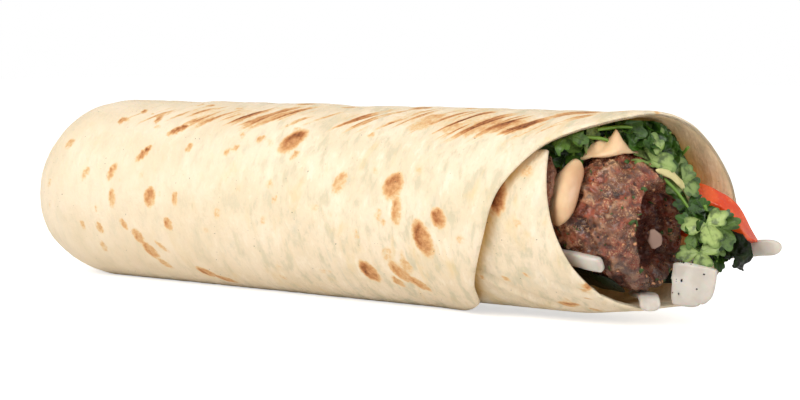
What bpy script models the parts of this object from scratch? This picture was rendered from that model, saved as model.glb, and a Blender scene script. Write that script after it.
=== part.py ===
"""A doner wrap: a round flatbread rolled about minced-meat kebab, herbs, sauce, tomato and onion.

The roll lies along X on a narrow flat strip. Its folded end is at -X and its open mouth at +X, and the
origin is on that strip, under the middle of the bread. Angles about the roll's axis are in degrees: 0 is
the top, -90 the near side (-Y), 90 the far side (+Y) and 180 the bottom. Every size below is in
millimetres, and MM turns millimetres into Blender's metres.
"""
import math

import bpy
from mathutils import Vector, noise

MM = 0.001

# The flatbread. Its sheet starts inside, at FIRST_ANGLE, and runs down the near side, under the roll, up
# the far side and over the top; LAST_TURN degrees further on it ends on the flat strip underneath.
ROLL_LENGTH = 252.0
ROLL_RADIUS = 32.0
BREAD_THICKNESS = 2.0
LAYER_PITCH = 2.6
FIRST_ANGLE = -45.0
LAST_TURN = 510.0
TURN_STEP = 15.0
REST_SINK = 1.1
AXIS_Z = ROLL_RADIUS - REST_SINK
MOUTH_X = ROLL_LENGTH / 2

# How far the sheet's front edge stays behind the mouth's furthest point, as (turn, set back).
FRONT_EDGE = (
    (0, 36.5), (48, 30.0), (88, 21.5), (113, 14.5), (143, 8.0), (220, 0.0), (265, 4.7), (295, 9.5),
    (325, 15.5), (345, 26.5), (363, 37.2), (387, 46.2), (411, 50.2), (443, 57.7), (465, 62.5), (510, 96.0),
)
STRAIGHT_ROWS = 11

# Near the mouth the bread's underside rises off the surface that the roll lies on.
MOUTH_LIFT = 2.4
LIFT_X = (92.0, 118.0)

# The closed end: a blunt dome that falls and leans, so that its lower half reaches further out.
DOME_LENGTH = 35.0
DOME_X = DOME_LENGTH - MOUTH_X
DOME_ROWS = 9
DOME_SWEEP = 87.0
DOME_FALL = 6.0
DOME_LEAN = 0.12
UNEVENNESS = 0.35

# The filling. GAP keeps neighbours clear of each other, and FILL_ROOM keeps them clear of the bread.
GAP = 0.5
FILL_ROOM = 0.8
FILL_BACK = -103.0
FILL_NOSE = 14.0
SAUCE_THICKNESS = 2.0

# The kebab in front, as (x, y, z, radius) along its middle, and the hollow that its skewer left.
MEAT_LINE = (
    (-103, 1.5, 28.0, 13.4), (-40, 1.5, 28.4, 13.8), (40, 1.5, 28.0, 13.6), (80, 0.5, 29.0, 14.6),
    (96, -2.0, 30.6, 18.2), (104, -2.6, 30.4, 19.2), (111, -3.0, 29.0, 18.4), (116.5, -3.2, 27.8, 16.8),
)
MEAT_END = 116.5
HOLLOW_DEPTH = 20.0
HOLLOW_RADIUS = 10.4
HOLLOW_FLOOR = 4.0
HOLLOW_SHIFT = (2.2, 0.0)
HOLLOW_SET_BACK = 4.5
HOLLOW_STEPS = 4
MEAT_LUMP, MEAT_LUMP_SIZE = 0.8, 9.0
SIDES = 20

# The pieces beside the kebab: their two edges as angles about the kebab's middle, and their reach in X.
BACK_MEAT_ANGLES = (-98.0, -37.0)
BACK_MEAT_FRONT = 93.0
SIDE_SAUCE_MIDDLE = -63.0
SIDE_SAUCE_HALF, SIDE_SAUCE_SPREAD = 12.0, 19.0
SIDE_SAUCE_FRONT = 101.8
TOP_SAUCE_FRONT = 109.0
SAUCE_PEAK, SAUCE_PEAK_X, SAUCE_PEAK_ANGLE = 4.6, 104.0, -8.0
HERBS_FRONT_X = 114.0
HERBS_LAYER = 4.0
HERBS_OVER_SAUCE = 6.3
LOWER_LEAF_ANGLES = (-166.0, -134.0)
LOWER_LEAF_THICKNESS = 1.4
TOMATO_REACH = (78.0, 137.5)
TOMATO_LOWER_ANGLE = 101.0
TOMATO_DEPTH = 25.2
LEFT_ONION_ANGLES = (-127.5, -115.0)
ONION_THICKNESS = 2.4


def clear_scene():
    for old in list(bpy.data.objects):
        bpy.data.objects.remove(old, do_unlink=True)


def new_collection(name):
    group = bpy.data.collections.new(name)
    bpy.context.scene.collection.children.link(group)
    return group


def finish(name, color, roughness):
    """A plain Principled material for one kind of food."""
    material = bpy.data.materials.new(name)
    material.use_nodes = True
    shader = material.node_tree.nodes["Principled BSDF"]
    shader.inputs["Base Color"].default_value = (*color, 1.0)
    shader.inputs["Roughness"].default_value = roughness
    shader.inputs["Metallic"].default_value = 0.0
    return material


def ramp(value, start, end):
    """0 before start and 1 after end, with a smooth rise between them."""
    share = min(max((value - start) / (end - start), 0.0), 1.0)
    return share * share * (3.0 - 2.0 * share)


def through(stations, at):
    """A smooth curve through stations, each (place, value, ...), read at one place."""
    last = len(stations) - 1
    at = min(max(at, stations[0][0]), stations[last][0])
    i = max(k for k in range(last) if stations[k][0] <= at)
    before, start, end, after = (stations[min(max(k, 0), last)] for k in (i - 1, i, i + 1, i + 2))
    width = end[0] - start[0]
    share = (at - start[0]) / width
    values = []
    for column in range(1, len(start)):
        slope_in = (end[column] - before[column]) / (end[0] - before[0]) * width
        slope_out = (after[column] - start[column]) / (after[0] - start[0]) * width
        rise = end[column] - start[column]
        square = share * share
        cube = square * share
        values.append(
            start[column]
            + rise * (3 * square - 2 * cube)
            + slope_in * (cube - 2 * square + share)
            + slope_out * (cube - square)
        )
    return values[0] if len(values) == 1 else values


def direction(angle):
    """The unit vector across the roll at an angle about its axis."""
    turn = math.radians(angle)
    return Vector((0.0, math.sin(turn), math.cos(turn)))


def uneven(point, size, seed):
    """Smooth noise from -1 to 1 whose lumps are about size across."""
    return noise.noise(point / size + Vector((seed, 0.0, 0.0)))


def mesh_object(name, points, faces, material, group):
    mesh = bpy.data.meshes.new(name)
    mesh.from_pydata([point * MM for point in points], [], faces)
    mesh.materials.append(material)
    mesh.shade_smooth()
    mesh.update()
    made = bpy.data.objects.new(name, mesh)
    group.objects.link(made)
    return made


# ---------------------------------------------------------------- flatbread


def layer_depth(turn):
    """How far the sheet's outer face lies inside the roll's outer surface."""
    return LAYER_PITCH * (LAST_TURN - turn) / 360.0


def bread_floor(turn):
    """The height that the sheet's outer face can't go below: 0, or one layer up inside the roll."""
    return LAYER_PITCH * math.floor((LAST_TURN - turn) / 360.0)


def bread_point(turn, row):
    """A point of the sheet's outer face; rows run from the mouth to the closed end."""
    depth = layer_depth(turn)
    if row <= STRAIGHT_ROWS:
        front = MOUTH_X - through(FRONT_EDGE, turn)
        x = front + (DOME_X - front) * row / STRAIGHT_ROWS
        radius = ROLL_RADIUS - depth
        closed = 0.0
    else:
        bend = math.radians(DOME_SWEEP * (row - STRAIGHT_ROWS) / DOME_ROWS)
        outward = Vector((math.sin(bend) / DOME_LENGTH, math.cos(bend) / ROLL_RADIUS)).normalized()
        x = DOME_X - DOME_LENGTH * math.sin(bend) + depth * outward.x
        radius = ROLL_RADIUS * math.cos(bend) - depth * outward.y
        closed = 1.0 - math.cos(bend)
    across = direction(FIRST_ANGLE - turn)
    below = max(-across.z, 0.0)
    wave = uneven(Vector((x, 0.0, 0.0)) + across * ROLL_RADIUS, 34.0, 3.7)
    radius += UNEVENNESS * wave * (1.0 - below) * (1.0 - closed)
    offset = across * radius
    height = AXIS_Z + offset.z - DOME_FALL * closed
    height = max(height, bread_floor(turn))
    height += MOUTH_LIFT * ramp(x, *LIFT_X) * below**2
    x += DOME_LEAN * closed * offset.z
    return Vector((x, offset.y, height))


def make_flatbread(material, group):
    """The rolled sheet as one open surface, given its thickness inwards."""
    rows = STRAIGHT_ROWS + DOME_ROWS + 1
    columns = round(LAST_TURN / TURN_STEP) + 1
    points = [bread_point(TURN_STEP * c, r) for c in range(columns) for r in range(rows)]
    faces = []
    for c in range(columns - 1):
        for r in range(rows - 1):
            corner = c * rows + r
            faces.append((corner, corner + 1, corner + rows + 1, corner + rows))
    bread = mesh_object("flatbread", points, faces, material, group)
    shell = bread.modifiers.new("thickness", "SOLIDIFY")
    shell.thickness = BREAD_THICKNESS * MM
    shell.offset = -1.0
    shell.use_even_offset = True
    return bread


# ------------------------------------------------------------------ filling


def inner_radius(angle):
    """The room inside the bread, from the roll's axis, at an angle about it."""
    turn = (FIRST_ANGLE - angle) % 360.0
    return ROLL_RADIUS - layer_depth(turn) - BREAD_THICKNESS - FILL_ROOM


def spread(back, front, steps):
    """Places along a bar, closer together near both its ends."""
    places = []
    for i in range(steps + 1):
        share = i / steps
        places.append(back + (front - back) * (share - 0.12 * math.sin(2 * math.pi * share)))
    return places


MEAT_PLACES = spread(FILL_BACK, MEAT_END, 16)


def meat_cell(x):
    """The two rings of the front kebab that x lies between, and how far it is from the first."""
    last = len(MEAT_PLACES) - 2
    i = max([k for k in range(last + 1) if MEAT_PLACES[k] <= x], default=0)
    start, end = MEAT_PLACES[i], MEAT_PLACES[i + 1]
    return start, end, min((x - start) / (end - start), 1.0)


def meat_middle(x):
    """The front kebab's middle, straight between its rings and level past its end."""
    start, end, share = meat_cell(x)
    first, second = (Vector((place, *through(MEAT_LINE, place)[:2])) for place in (start, end))
    middle = first.lerp(second, share)
    middle.x = x
    return middle


def ring_radius(x, corner):
    """The lumpy radius of the front kebab's ring at x, at one of its corners."""
    y, z, radius = through(MEAT_LINE, x)
    place = Vector((x, y, z)) + direction(corner * 360.0 / SIDES) * radius
    return radius + MEAT_LUMP * uneven(place, MEAT_LUMP_SIZE, 11.3)


def meat_radius(x, angle):
    """The front kebab's radius about its own middle, straight between its corners."""
    start, end, along = meat_cell(x)
    corner = angle / 360.0 * SIDES
    first = math.floor(corner)
    around = corner - first
    near = ring_radius(start, first) * (1 - around) + ring_radius(start, first + 1) * around
    far = ring_radius(end, first) * (1 - around) + ring_radius(end, first + 1) * around
    return near * (1 - along) + far * along


def wall_distance(x, angle):
    """How far the bread's inner face is from the kebab's middle, at an angle about that middle."""
    middle = meat_middle(x)
    away = direction(angle)
    apart = Vector((0.0, middle.y, middle.z - AXIS_Z))
    reach = inner_radius(angle)
    for _ in range(3):
        along = apart.dot(away)
        distance = -along + math.sqrt(along**2 - apart.length_squared + reach**2)
        place = apart + away * distance
        reach = inner_radius(math.degrees(math.atan2(place.y, place.z)))
    return distance


def loft(name, rings, material, group):
    """Quads between rings of points, and a strip of quads across each end ring."""
    count = len(rings[0])
    points = [point for ring in rings for point in ring]
    faces = []
    for r in range(len(rings) - 1):
        for i in range(count):
            j = (i + 1) % count
            faces.append((r * count + i, r * count + j, (r + 1) * count + j, (r + 1) * count + i))
    last = (len(rings) - 1) * count
    for i in range(count // 2 - 1):
        opposite = count - 1 - i
        faces.append((opposite, opposite - 1, i + 1, i))
        faces.append((last + i, last + i + 1, last + opposite - 1, last + opposite))
    return mesh_object(name, points, faces, material, group)


def rounded(turn, squareness):
    """A point on a rounded square with half side 1; a lower squareness gives squarer corners."""
    across, up = math.cos(turn), math.sin(turn)
    return (
        math.copysign(abs(across) ** squareness, across),
        math.copysign(abs(up) ** squareness, up),
    )


def ring_turns(sides):
    return [2 * math.pi * (i + 0.5) / sides for i in range(sides)]


def end_share(x, back, front, nose):
    """1 along a bar, falling to a small share at both ends in a round nose."""
    inside = min(x - back, front - x)
    share = min(max(inside / nose, 0.0), 1.0)
    return max(math.sqrt(1.0 - (1.0 - share) ** 2), 0.12)


def sector_bar(name, reach, angles, inner, outer, material, group, sides=12, nose=FILL_NOSE):
    """A bar beside the kebab: reach is its (back, front), angles(x) its two edges about the kebab's
    middle, and inner and outer, each of (x, angle), its two faces' distances from that middle."""
    back, front = reach
    noses = [share * nose for share in (0.0, 0.15, 0.45)]
    places = {back + n for n in noses} | {front - n for n in noses}
    places |= {x for x in MEAT_PLACES if back + nose * 0.6 < x < front - nose * 0.6}
    rings = []
    for x in sorted(places):
        middle = meat_middle(x)
        first, second = angles(x)
        share = end_share(x, back, front, nose)
        ring = []
        for turn in ring_turns(sides):
            across, up = rounded(turn, 0.65)
            angle = (first + second) / 2 + (second - first) / 2 * across * share
            low, high = inner(x, angle), outer(x, angle)
            distance = (low + high) / 2 + (high - low) / 2 * up * share
            ring.append(middle + direction(angle) * distance)
        rings.append(ring)
    return loft(name, rings, material, group)


def path_bar(name, path, widths, thickness, wide, material, group, sides=8, steps=10, squareness=0.5):
    """A flat strip along a path of (share, x, y, z), as wide as widths(share) in the direction wide."""
    rings = []
    for i in range(steps + 1):
        share = i / steps
        place = Vector(through(path, share))
        ahead = Vector(through(path, share + 0.02)) - Vector(through(path, share - 0.02))
        ahead.normalize()
        face = ahead.cross(Vector(wide)).normalized()
        side = face.cross(ahead)
        small = 0.8 + 0.2 * end_share(share, 0.0, 1.0, 0.1)
        ring = []
        for turn in ring_turns(sides):
            across, up = rounded(turn, squareness)
            offset = side * across * widths(share) + face * up * thickness
            ring.append(place + offset * small / 2)
        rings.append(ring)
    return loft(name, rings, material, group)


def make_front_meat(material, group):
    """The kebab with a ragged open end, hollow where the skewer was and cut back on its near side."""
    rings = []
    corners = [-i * 360.0 / SIDES for i in range(SIDES)]
    for x in MEAT_PLACES:
        middle = meat_middle(x)
        share = end_share(x, FILL_BACK, MEAT_END, FILL_NOSE) if x < 0 else 1.0
        share *= 1.0 - 0.07 * ramp(x, MEAT_END - 3.0, MEAT_END)
        rings.append([middle + direction(a) * meat_radius(x, a) * share for a in corners])
    middle = meat_middle(MEAT_END)
    centre = middle + Vector((0.0, *HOLLOW_SHIFT))
    for step in range(HOLLOW_STEPS + 1):
        deep = step / HOLLOW_STEPS
        radius = HOLLOW_RADIUS + (HOLLOW_FLOOR - HOLLOW_RADIUS) * deep**1.5
        ring = []
        for corner in corners:
            away = direction(corner)
            ragged = 1.0 + 0.14 * uneven(away * 12.0 + Vector((deep * 8.0, 0.0, 0.0)), 7.0, 5.1)
            lip = 1.6 * uneven(away * 14.0, 9.0, 8.4) * (1.0 - deep)
            place = centre + away * radius * ragged
            cut = HOLLOW_SET_BACK * max(-away.y, 0.0) * (1.0 - deep)
            place.x = MEAT_END - 0.8 + lip - cut - HOLLOW_DEPTH * deep
            ring.append(place)
        rings.append(ring)
    return loft("meat_front", rings, material, group)


def make_back_meat(material, group):
    """A second kebab, seen inside the near rim and as long as the roll's inside."""
    return sector_bar(
        "meat_back",
        (FILL_BACK, BACK_MEAT_FRONT),
        lambda x: BACK_MEAT_ANGLES,
        lambda x, angle: meat_radius(x, angle) + SAUCE_THICKNESS + 2 * GAP,
        lambda x, angle: wall_distance(x, angle) - 0.6 * abs(uneven(Vector((x, angle, 0.0)), 9.0, 2.0)),
        material,
        group,
        sides=14,
        nose=8.0,
    )


def make_sauces(material, group):
    """Sauce down the near side, ending in an oval blob, and a sheet of it over the kebab's top."""
    def side_angles(x):
        half = SIDE_SAUCE_HALF + SIDE_SAUCE_SPREAD * ramp(x, 84.0, 95.0)
        return SIDE_SAUCE_MIDDLE - half, SIDE_SAUCE_MIDDLE + half

    sector_bar(
        "sauce_side",
        (FILL_BACK + 4.0, SIDE_SAUCE_FRONT),
        side_angles,
        lambda x, angle: meat_radius(x, angle) + GAP,
        lambda x, angle: meat_radius(x, angle) + GAP + SAUCE_THICKNESS,
        material,
        group,
        sides=12,
        nose=8.0,
    )

    def peak(x, angle):
        away = ((x - SAUCE_PEAK_X) / 4.0) ** 2 + ((angle - SAUCE_PEAK_ANGLE) / 11.0) ** 2
        return SAUCE_PEAK * math.exp(-away)

    sector_bar(
        "sauce_top",
        (FILL_BACK + 4.0, TOP_SAUCE_FRONT),
        lambda x: (-33.0 + 7.0 * ramp(x, 88.0, 96.0), 12.0 + 36.0 * ramp(x, 70.0, 100.0)),
        lambda x, angle: meat_radius(x, angle) + GAP + 0.3,
        lambda x, angle: meat_radius(x, angle) + GAP + SAUCE_THICKNESS + peak(x, angle),
        material,
        group,
        sides=22,
        nose=7.0,
    )


def make_herbs(material, group):
    """Parsley and coriander over the kebab, and a second bunch that comes out below on the far side."""
    def over_sauce(x, angle):
        return HERBS_OVER_SAUCE * ramp(x, 94.0, 99.0) if angle < 14.0 else 0.0

    sector_bar(
        "herbs_top",
        (FILL_BACK, HERBS_FRONT_X),
        lambda x: (-33.0 + 35.0 * ramp(x, 88.0, 110.0), 50.0),
        lambda x, angle: meat_radius(x, angle) + HERBS_LAYER + over_sauce(x, angle),
        lambda x, angle: wall_distance(x, angle) - 1.1 * abs(uneven(Vector((x, angle, 0.0)), 7.0, 4.0)),
        material,
        group,
        sides=20,
        nose=9.0,
    )
    path = (
        (0.0, -60.0, 14.0, 13.0, 3.6), (0.45, 60.0, 14.0, 13.0, 3.6), (0.76, 113.5, 12.8, 12.8, 3.4),
        (0.88, 124.0, 9.6, 17.2, 4.2), (1.0, 129.5, 3.5, 26.5, 7.4),
    )
    rings = []
    for share in (0.0, 0.02, 0.2, 0.4, 0.6, 0.72, 0.8, 0.86, 0.91, 0.95, 0.985, 1.0, 1.02, 1.035, 1.045):
        inside = min(share, 1.0)
        x, y, z, radius = through(path, inside)
        ahead = Vector(through(path, inside)[:3]) - Vector(through(path, inside - 0.03)[:3])
        ahead.normalize()
        over = (share - inside) / 0.05
        radius *= math.sqrt(1.0 - over**2) if share > 0.02 else 0.5 + 25.0 * share
        middle = Vector((x, y, z)) + ahead * over * 8.0
        side = Vector((0.0, 0.0, 1.0)).cross(ahead).normalized()
        upright = ahead.cross(side)
        ring = []
        for turn in ring_turns(12):
            away = side * math.cos(turn) + upright * math.sin(turn)
            bumpy = 1.0 - 0.16 * abs(uneven(middle + away * radius, 4.0, 6.0))
            ring.append(middle + away * radius * bumpy)
        rings.append(ring)
    loft("herbs_front", rings, material, group)


def make_leaves(material, group):
    """A leaf under the kebab on the near side, and a dark wilted one that hangs from the mouth."""
    sector_bar(
        "leaf_lower",
        (-60.0, 111.0),
        lambda x: LOWER_LEAF_ANGLES,
        lambda x, angle: meat_radius(x, angle) + GAP,
        lambda x, angle: meat_radius(x, angle) + GAP + LOWER_LEAF_THICKNESS,
        material,
        group,
        sides=8,
        nose=6.0,
    )
    path_bar(
        "leaf_wilted",
        ((0.0, 131.2, 13.0, 18.8), (0.5, 135.4, 13.0, 20.2), (1.0, 139.8, 12.2, 21.0)),
        lambda share: 8.0 - 1.5 * math.cos(share * 12.0),
        4.0,
        (0.0, 0.15, 1.0),
        material,
        group,
        sides=10,
        steps=8,
        squareness=0.9,
    )


def make_tomato(material, group):
    """A wedge lying on the far side, whose tapered end leaves the mouth."""
    def edges(x):
        rise = 10.0 * ramp(x, 110.0, 119.0)
        fall = 9.0 * ramp(x, 119.0, 129.0) + 30.0 * ramp(x, 127.0, 138.0)
        return 69.0 - rise + fall, TOMATO_LOWER_ANGLE

    sector_bar(
        "tomato",
        TOMATO_REACH,
        edges,
        lambda x, angle: meat_radius(x, angle) + 2 * GAP,
        lambda x, angle: min(wall_distance(x, angle), TOMATO_DEPTH),
        material,
        group,
        sides=14,
        nose=7.0,
    )


def make_onions(material, group):
    """Slices of onion: one along the near rim, four at the mouth and a chip in the kebab's hollow."""
    sector_bar(
        "onion_left",
        (80.0, 108.5),
        lambda x: LEFT_ONION_ANGLES,
        lambda x, angle: meat_radius(x, angle) + GAP,
        lambda x, angle: meat_radius(x, angle) + GAP + ONION_THICKNESS,
        material,
        group,
        sides=8,
        nose=2.0,
    )
    path_bar(
        "onion_narrow",
        (
            (0.0, 106.5, 4.0, 8.4), (0.3, 111.0, -1.0, 8.6), (0.6, 114.8, -5.5, 9.0),
            (0.85, 117.0, -8.6, 8.3), (1.0, 118.2, -10.1, 5.6),
        ),
        lambda share: 5.8,
        1.8,
        (0.8, 0.6, 0.0),
        material,
        group,
    )
    path_bar(
        "onion_big",
        ((0.0, 125.2, -2.2, 6.6), (0.5, 127.9, -3.2, 12.5), (1.0, 128.5, -3.0, 19.0)),
        lambda share: 7.4 + 5.0 * ramp(share, 0.0, 0.55),
        ONION_THICKNESS,
        (1.0, 0.15, 0.0),
        material,
        group,
    )
    path_bar(
        "onion_tip",
        ((0.0, 104.5, 20.0, 17.0), (0.5, 122.5, 22.0, 20.0), (1.0, 144.0, 21.0, 22.6)),
        lambda share: 5.4 - 1.2 * share**4,
        ONION_THICKNESS,
        (0.0, 0.0, 1.0),
        material,
        group,
    )
    path_bar(
        "onion_chip",
        ((0.0, 112.8, 1.6, 21.8), (0.5, 113.2, 2.0, 24.6), (1.0, 112.4, 1.2, 27.6)),
        lambda share: 3.4,
        1.6,
        (0.8, 0.6, 0.0),
        material,
        group,
        steps=4,
    )


def build():
    clear_scene()
    group = new_collection("doner_wrap")
    bread = finish("flatbread", (0.86, 0.74, 0.55), 0.75)
    meat = finish("meat", (0.16, 0.045, 0.028), 0.4)
    sauce = finish("sauce", (0.78, 0.55, 0.36), 0.3)
    herbs = finish("herbs", (0.06, 0.17, 0.03), 0.5)
    leaf = finish("leaf", (0.03, 0.08, 0.02), 0.5)
    tomato = finish("tomato", (0.78, 0.13, 0.03), 0.25)
    onion = finish("onion", (0.80, 0.76, 0.68), 0.35)
    make_flatbread(bread, group)
    make_front_meat(meat, group)
    make_back_meat(meat, group)
    make_sauces(sauce, group)
    make_herbs(herbs, group)
    make_leaves(leaf, group)
    make_tomato(tomato, group)
    make_onions(onion, group)


build()
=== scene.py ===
"""Looks of the doner wrap: the bread's toasted skin, the kebab's crumb, sauce, herbs, tomato and onion.

The frame's CAD solids fix where everything is. Sizes and places below are millimetres in the frame's axes,
and MM turns them into Blender's metres. Angles about the roll's axis are in degrees: 0 is the top, -90 the
near side (-Y), 90 the far side (+Y) and 180 the bottom.
"""

import itertools
import math

import bpy
import numpy as np
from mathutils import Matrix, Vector


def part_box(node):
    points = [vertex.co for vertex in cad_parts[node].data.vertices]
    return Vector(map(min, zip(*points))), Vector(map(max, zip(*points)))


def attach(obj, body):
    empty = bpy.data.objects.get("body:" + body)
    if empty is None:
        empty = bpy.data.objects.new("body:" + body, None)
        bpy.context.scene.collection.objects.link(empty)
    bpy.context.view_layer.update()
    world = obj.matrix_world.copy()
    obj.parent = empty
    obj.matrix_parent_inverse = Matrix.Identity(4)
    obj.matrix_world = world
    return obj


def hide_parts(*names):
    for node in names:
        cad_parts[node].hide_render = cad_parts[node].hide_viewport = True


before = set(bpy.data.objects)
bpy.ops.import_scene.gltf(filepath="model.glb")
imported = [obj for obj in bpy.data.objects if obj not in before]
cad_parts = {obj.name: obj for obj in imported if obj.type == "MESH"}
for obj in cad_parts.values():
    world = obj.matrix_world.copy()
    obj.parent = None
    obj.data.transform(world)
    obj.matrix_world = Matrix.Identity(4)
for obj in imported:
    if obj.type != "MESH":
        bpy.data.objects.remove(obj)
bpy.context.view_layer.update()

MM = 0.001
BODY = "root"

# ------------------------------------------------------------------ the roll, as in the CAD

bread_low, bread_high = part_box("flatbread")
MOUTH_X = bread_high[0] / MM
CLOSED_X = -MOUTH_X
ROLL_RADIUS = 32.0
BREAD_THICKNESS = 2.0
LAYER_PITCH = 2.6
FIRST_ANGLE = -45.0
LAST_TURN = 510.0
AXIS_Z = 30.9
FRONT_EDGE = (
    (0, 36.5), (48, 30.0), (88, 21.5), (113, 14.5), (143, 8.0), (220, 0.0), (265, 4.7), (295, 9.5),
    (325, 15.5), (345, 26.5), (363, 37.2), (387, 46.2), (411, 50.2), (443, 57.7), (465, 62.5), (510, 96.0),
)
MOUTH_LIFT = 2.4
LIFT_X = (92.0, 118.0)
DOME_LENGTH = 35.0
DOME_X = CLOSED_X + DOME_LENGTH
DOME_SWEEP = 87.0
DOME_FALL = 6.0
DOME_LEAN = 0.12
MEAT_LINE = (
    (-103, 1.5, 28.0, 13.4), (-40, 1.5, 28.4, 13.8), (40, 1.5, 28.0, 13.6), (80, 0.5, 29.0, 14.6),
    (96, -2.0, 30.6, 18.2), (104, -2.6, 30.4, 19.2), (111, -3.0, 29.0, 18.4), (116.5, -3.2, 27.8, 16.8),
)
MEAT_END = 116.5


def ramp(value, start, end):
    share = np.clip((value - start) / (end - start), 0.0, 1.0)
    return share * share * (3.0 - 2.0 * share)


def through(stations, at):
    """A smooth curve through stations, each (place, value, ...), read at an array of places."""
    table = np.array(stations, float)
    places, values = table[:, 0], table[:, 1:]
    last = len(places) - 1
    at = np.clip(np.atleast_1d(np.asarray(at, float)), places[0], places[-1])
    i = np.clip(np.searchsorted(places, at, side="right") - 1, 0, last - 1)
    before, after = np.maximum(i - 1, 0), np.minimum(i + 2, last)
    width = (places[i + 1] - places[i])[:, None]
    share = ((at - places[i]) / width[:, 0])[:, None]
    slope_in = (values[i + 1] - values[before]) / (places[i + 1] - places[before])[:, None] * width
    slope_out = (values[after] - values[i]) / (places[after] - places[i])[:, None] * width
    rise = values[i + 1] - values[i]
    square, cube = share**2, share**3
    curve = values[i] + rise * (3 * square - 2 * cube)
    curve += slope_in * (cube - 2 * square + share) + slope_out * (cube - square)
    return curve[:, 0] if curve.shape[1] == 1 else curve


def uneven(points, size, seed):
    """Gradient noise from about -1 to 1 at points (..., 3), with lumps about size across."""
    rng = np.random.default_rng(seed)
    order = rng.permutation(256)
    slopes = rng.normal(size=(256, 3))
    slopes /= np.linalg.norm(slopes, axis=1)[:, None]
    place = np.asarray(points, float) / size
    cell = np.floor(place).astype(int)
    inside = place - cell
    fade = inside**3 * (inside * (inside * 6.0 - 15.0) + 10.0)
    total = np.zeros(place.shape[:-1])
    for corner in itertools.product((0, 1), repeat=3):
        at = cell + corner
        pick = order[(order[(order[at[..., 0] & 255] + at[..., 1]) & 255] + at[..., 2]) & 255]
        height = ((inside - corner) * slopes[pick]).sum(-1)
        weight = np.where(corner, fade, 1.0 - fade).prod(-1)
        total += height * weight
    return total * 1.6


def stack(*columns):
    return np.stack(np.broadcast_arrays(*columns), axis=-1)


# ------------------------------------------------------------------ meshes


def piece(name, points, quads, material, nodes, values=None, triangles=(), smooth=True):
    """A mesh piece riding on the wrap's one body, with per-vertex values for its material."""
    mesh = bpy.data.meshes.new(name)
    mesh.from_pydata((np.asarray(points).reshape(-1, 3) * MM).tolist(), [], [*quads, *triangles])
    mesh.validate()
    mesh.materials.append(material)
    for key, numbers in (values or {}).items():
        numbers = np.asarray(numbers, np.float32)
        if numbers.ndim == 2:
            layer = mesh.attributes.new(key, "FLOAT_VECTOR", "POINT")
            layer.data.foreach_set("vector", numbers.ravel())
        else:
            layer = mesh.attributes.new(key, "FLOAT", "POINT")
            layer.data.foreach_set("value", numbers)
    if smooth:
        mesh.shade_smooth()
    made = bpy.data.objects.new(name, mesh)
    bpy.context.scene.collection.objects.link(made)
    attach(made, BODY)
    if nodes:
        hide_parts(*nodes)
    return made


def grid_quads(rows, columns, wrap=False, start=0, flip=False):
    """Quads over a rows by columns grid of points, joined round its columns if wrap is set."""
    r, c = np.meshgrid(np.arange(rows - 1), np.arange(columns if wrap else columns - 1), indexing="ij")
    r, c = r.ravel(), c.ravel()
    d = (c + 1) % columns
    quads = np.stack([r * columns + c, r * columns + d, (r + 1) * columns + d, (r + 1) * columns + c], 1)
    if flip:
        quads = quads[:, ::-1]
    return (quads + start).tolist()


def normals_of(grid):
    along = np.gradient(grid, axis=0)
    across = np.gradient(grid, axis=1)
    normal = np.cross(along, across)
    return normal / np.maximum(np.linalg.norm(normal, axis=-1, keepdims=True), 1e-9)


def lofted(name, rings, material, nodes, values=None):
    """Rings of points, joined and closed with a fan at each end."""
    rings = np.asarray(rings)
    count, sides = rings.shape[:2]
    points = np.concatenate([rings.reshape(-1, 3), rings[:1].mean(1), rings[-1:].mean(1)])
    quads = grid_quads(count, sides, wrap=True)
    first, last = count * sides, count * sides + 1
    fans = []
    for i in range(sides):
        j = (i + 1) % sides
        fans.append((first, j, i))
        fans.append((last, (count - 1) * sides + i, (count - 1) * sides + j))
    if values:
        values = {k: np.concatenate([v.reshape(-1), [0.5, 0.5]]) for k, v in values.items()}
    return piece(name, points, quads, material, nodes, values, fans)


# ------------------------------------------------------------------ materials


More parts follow.
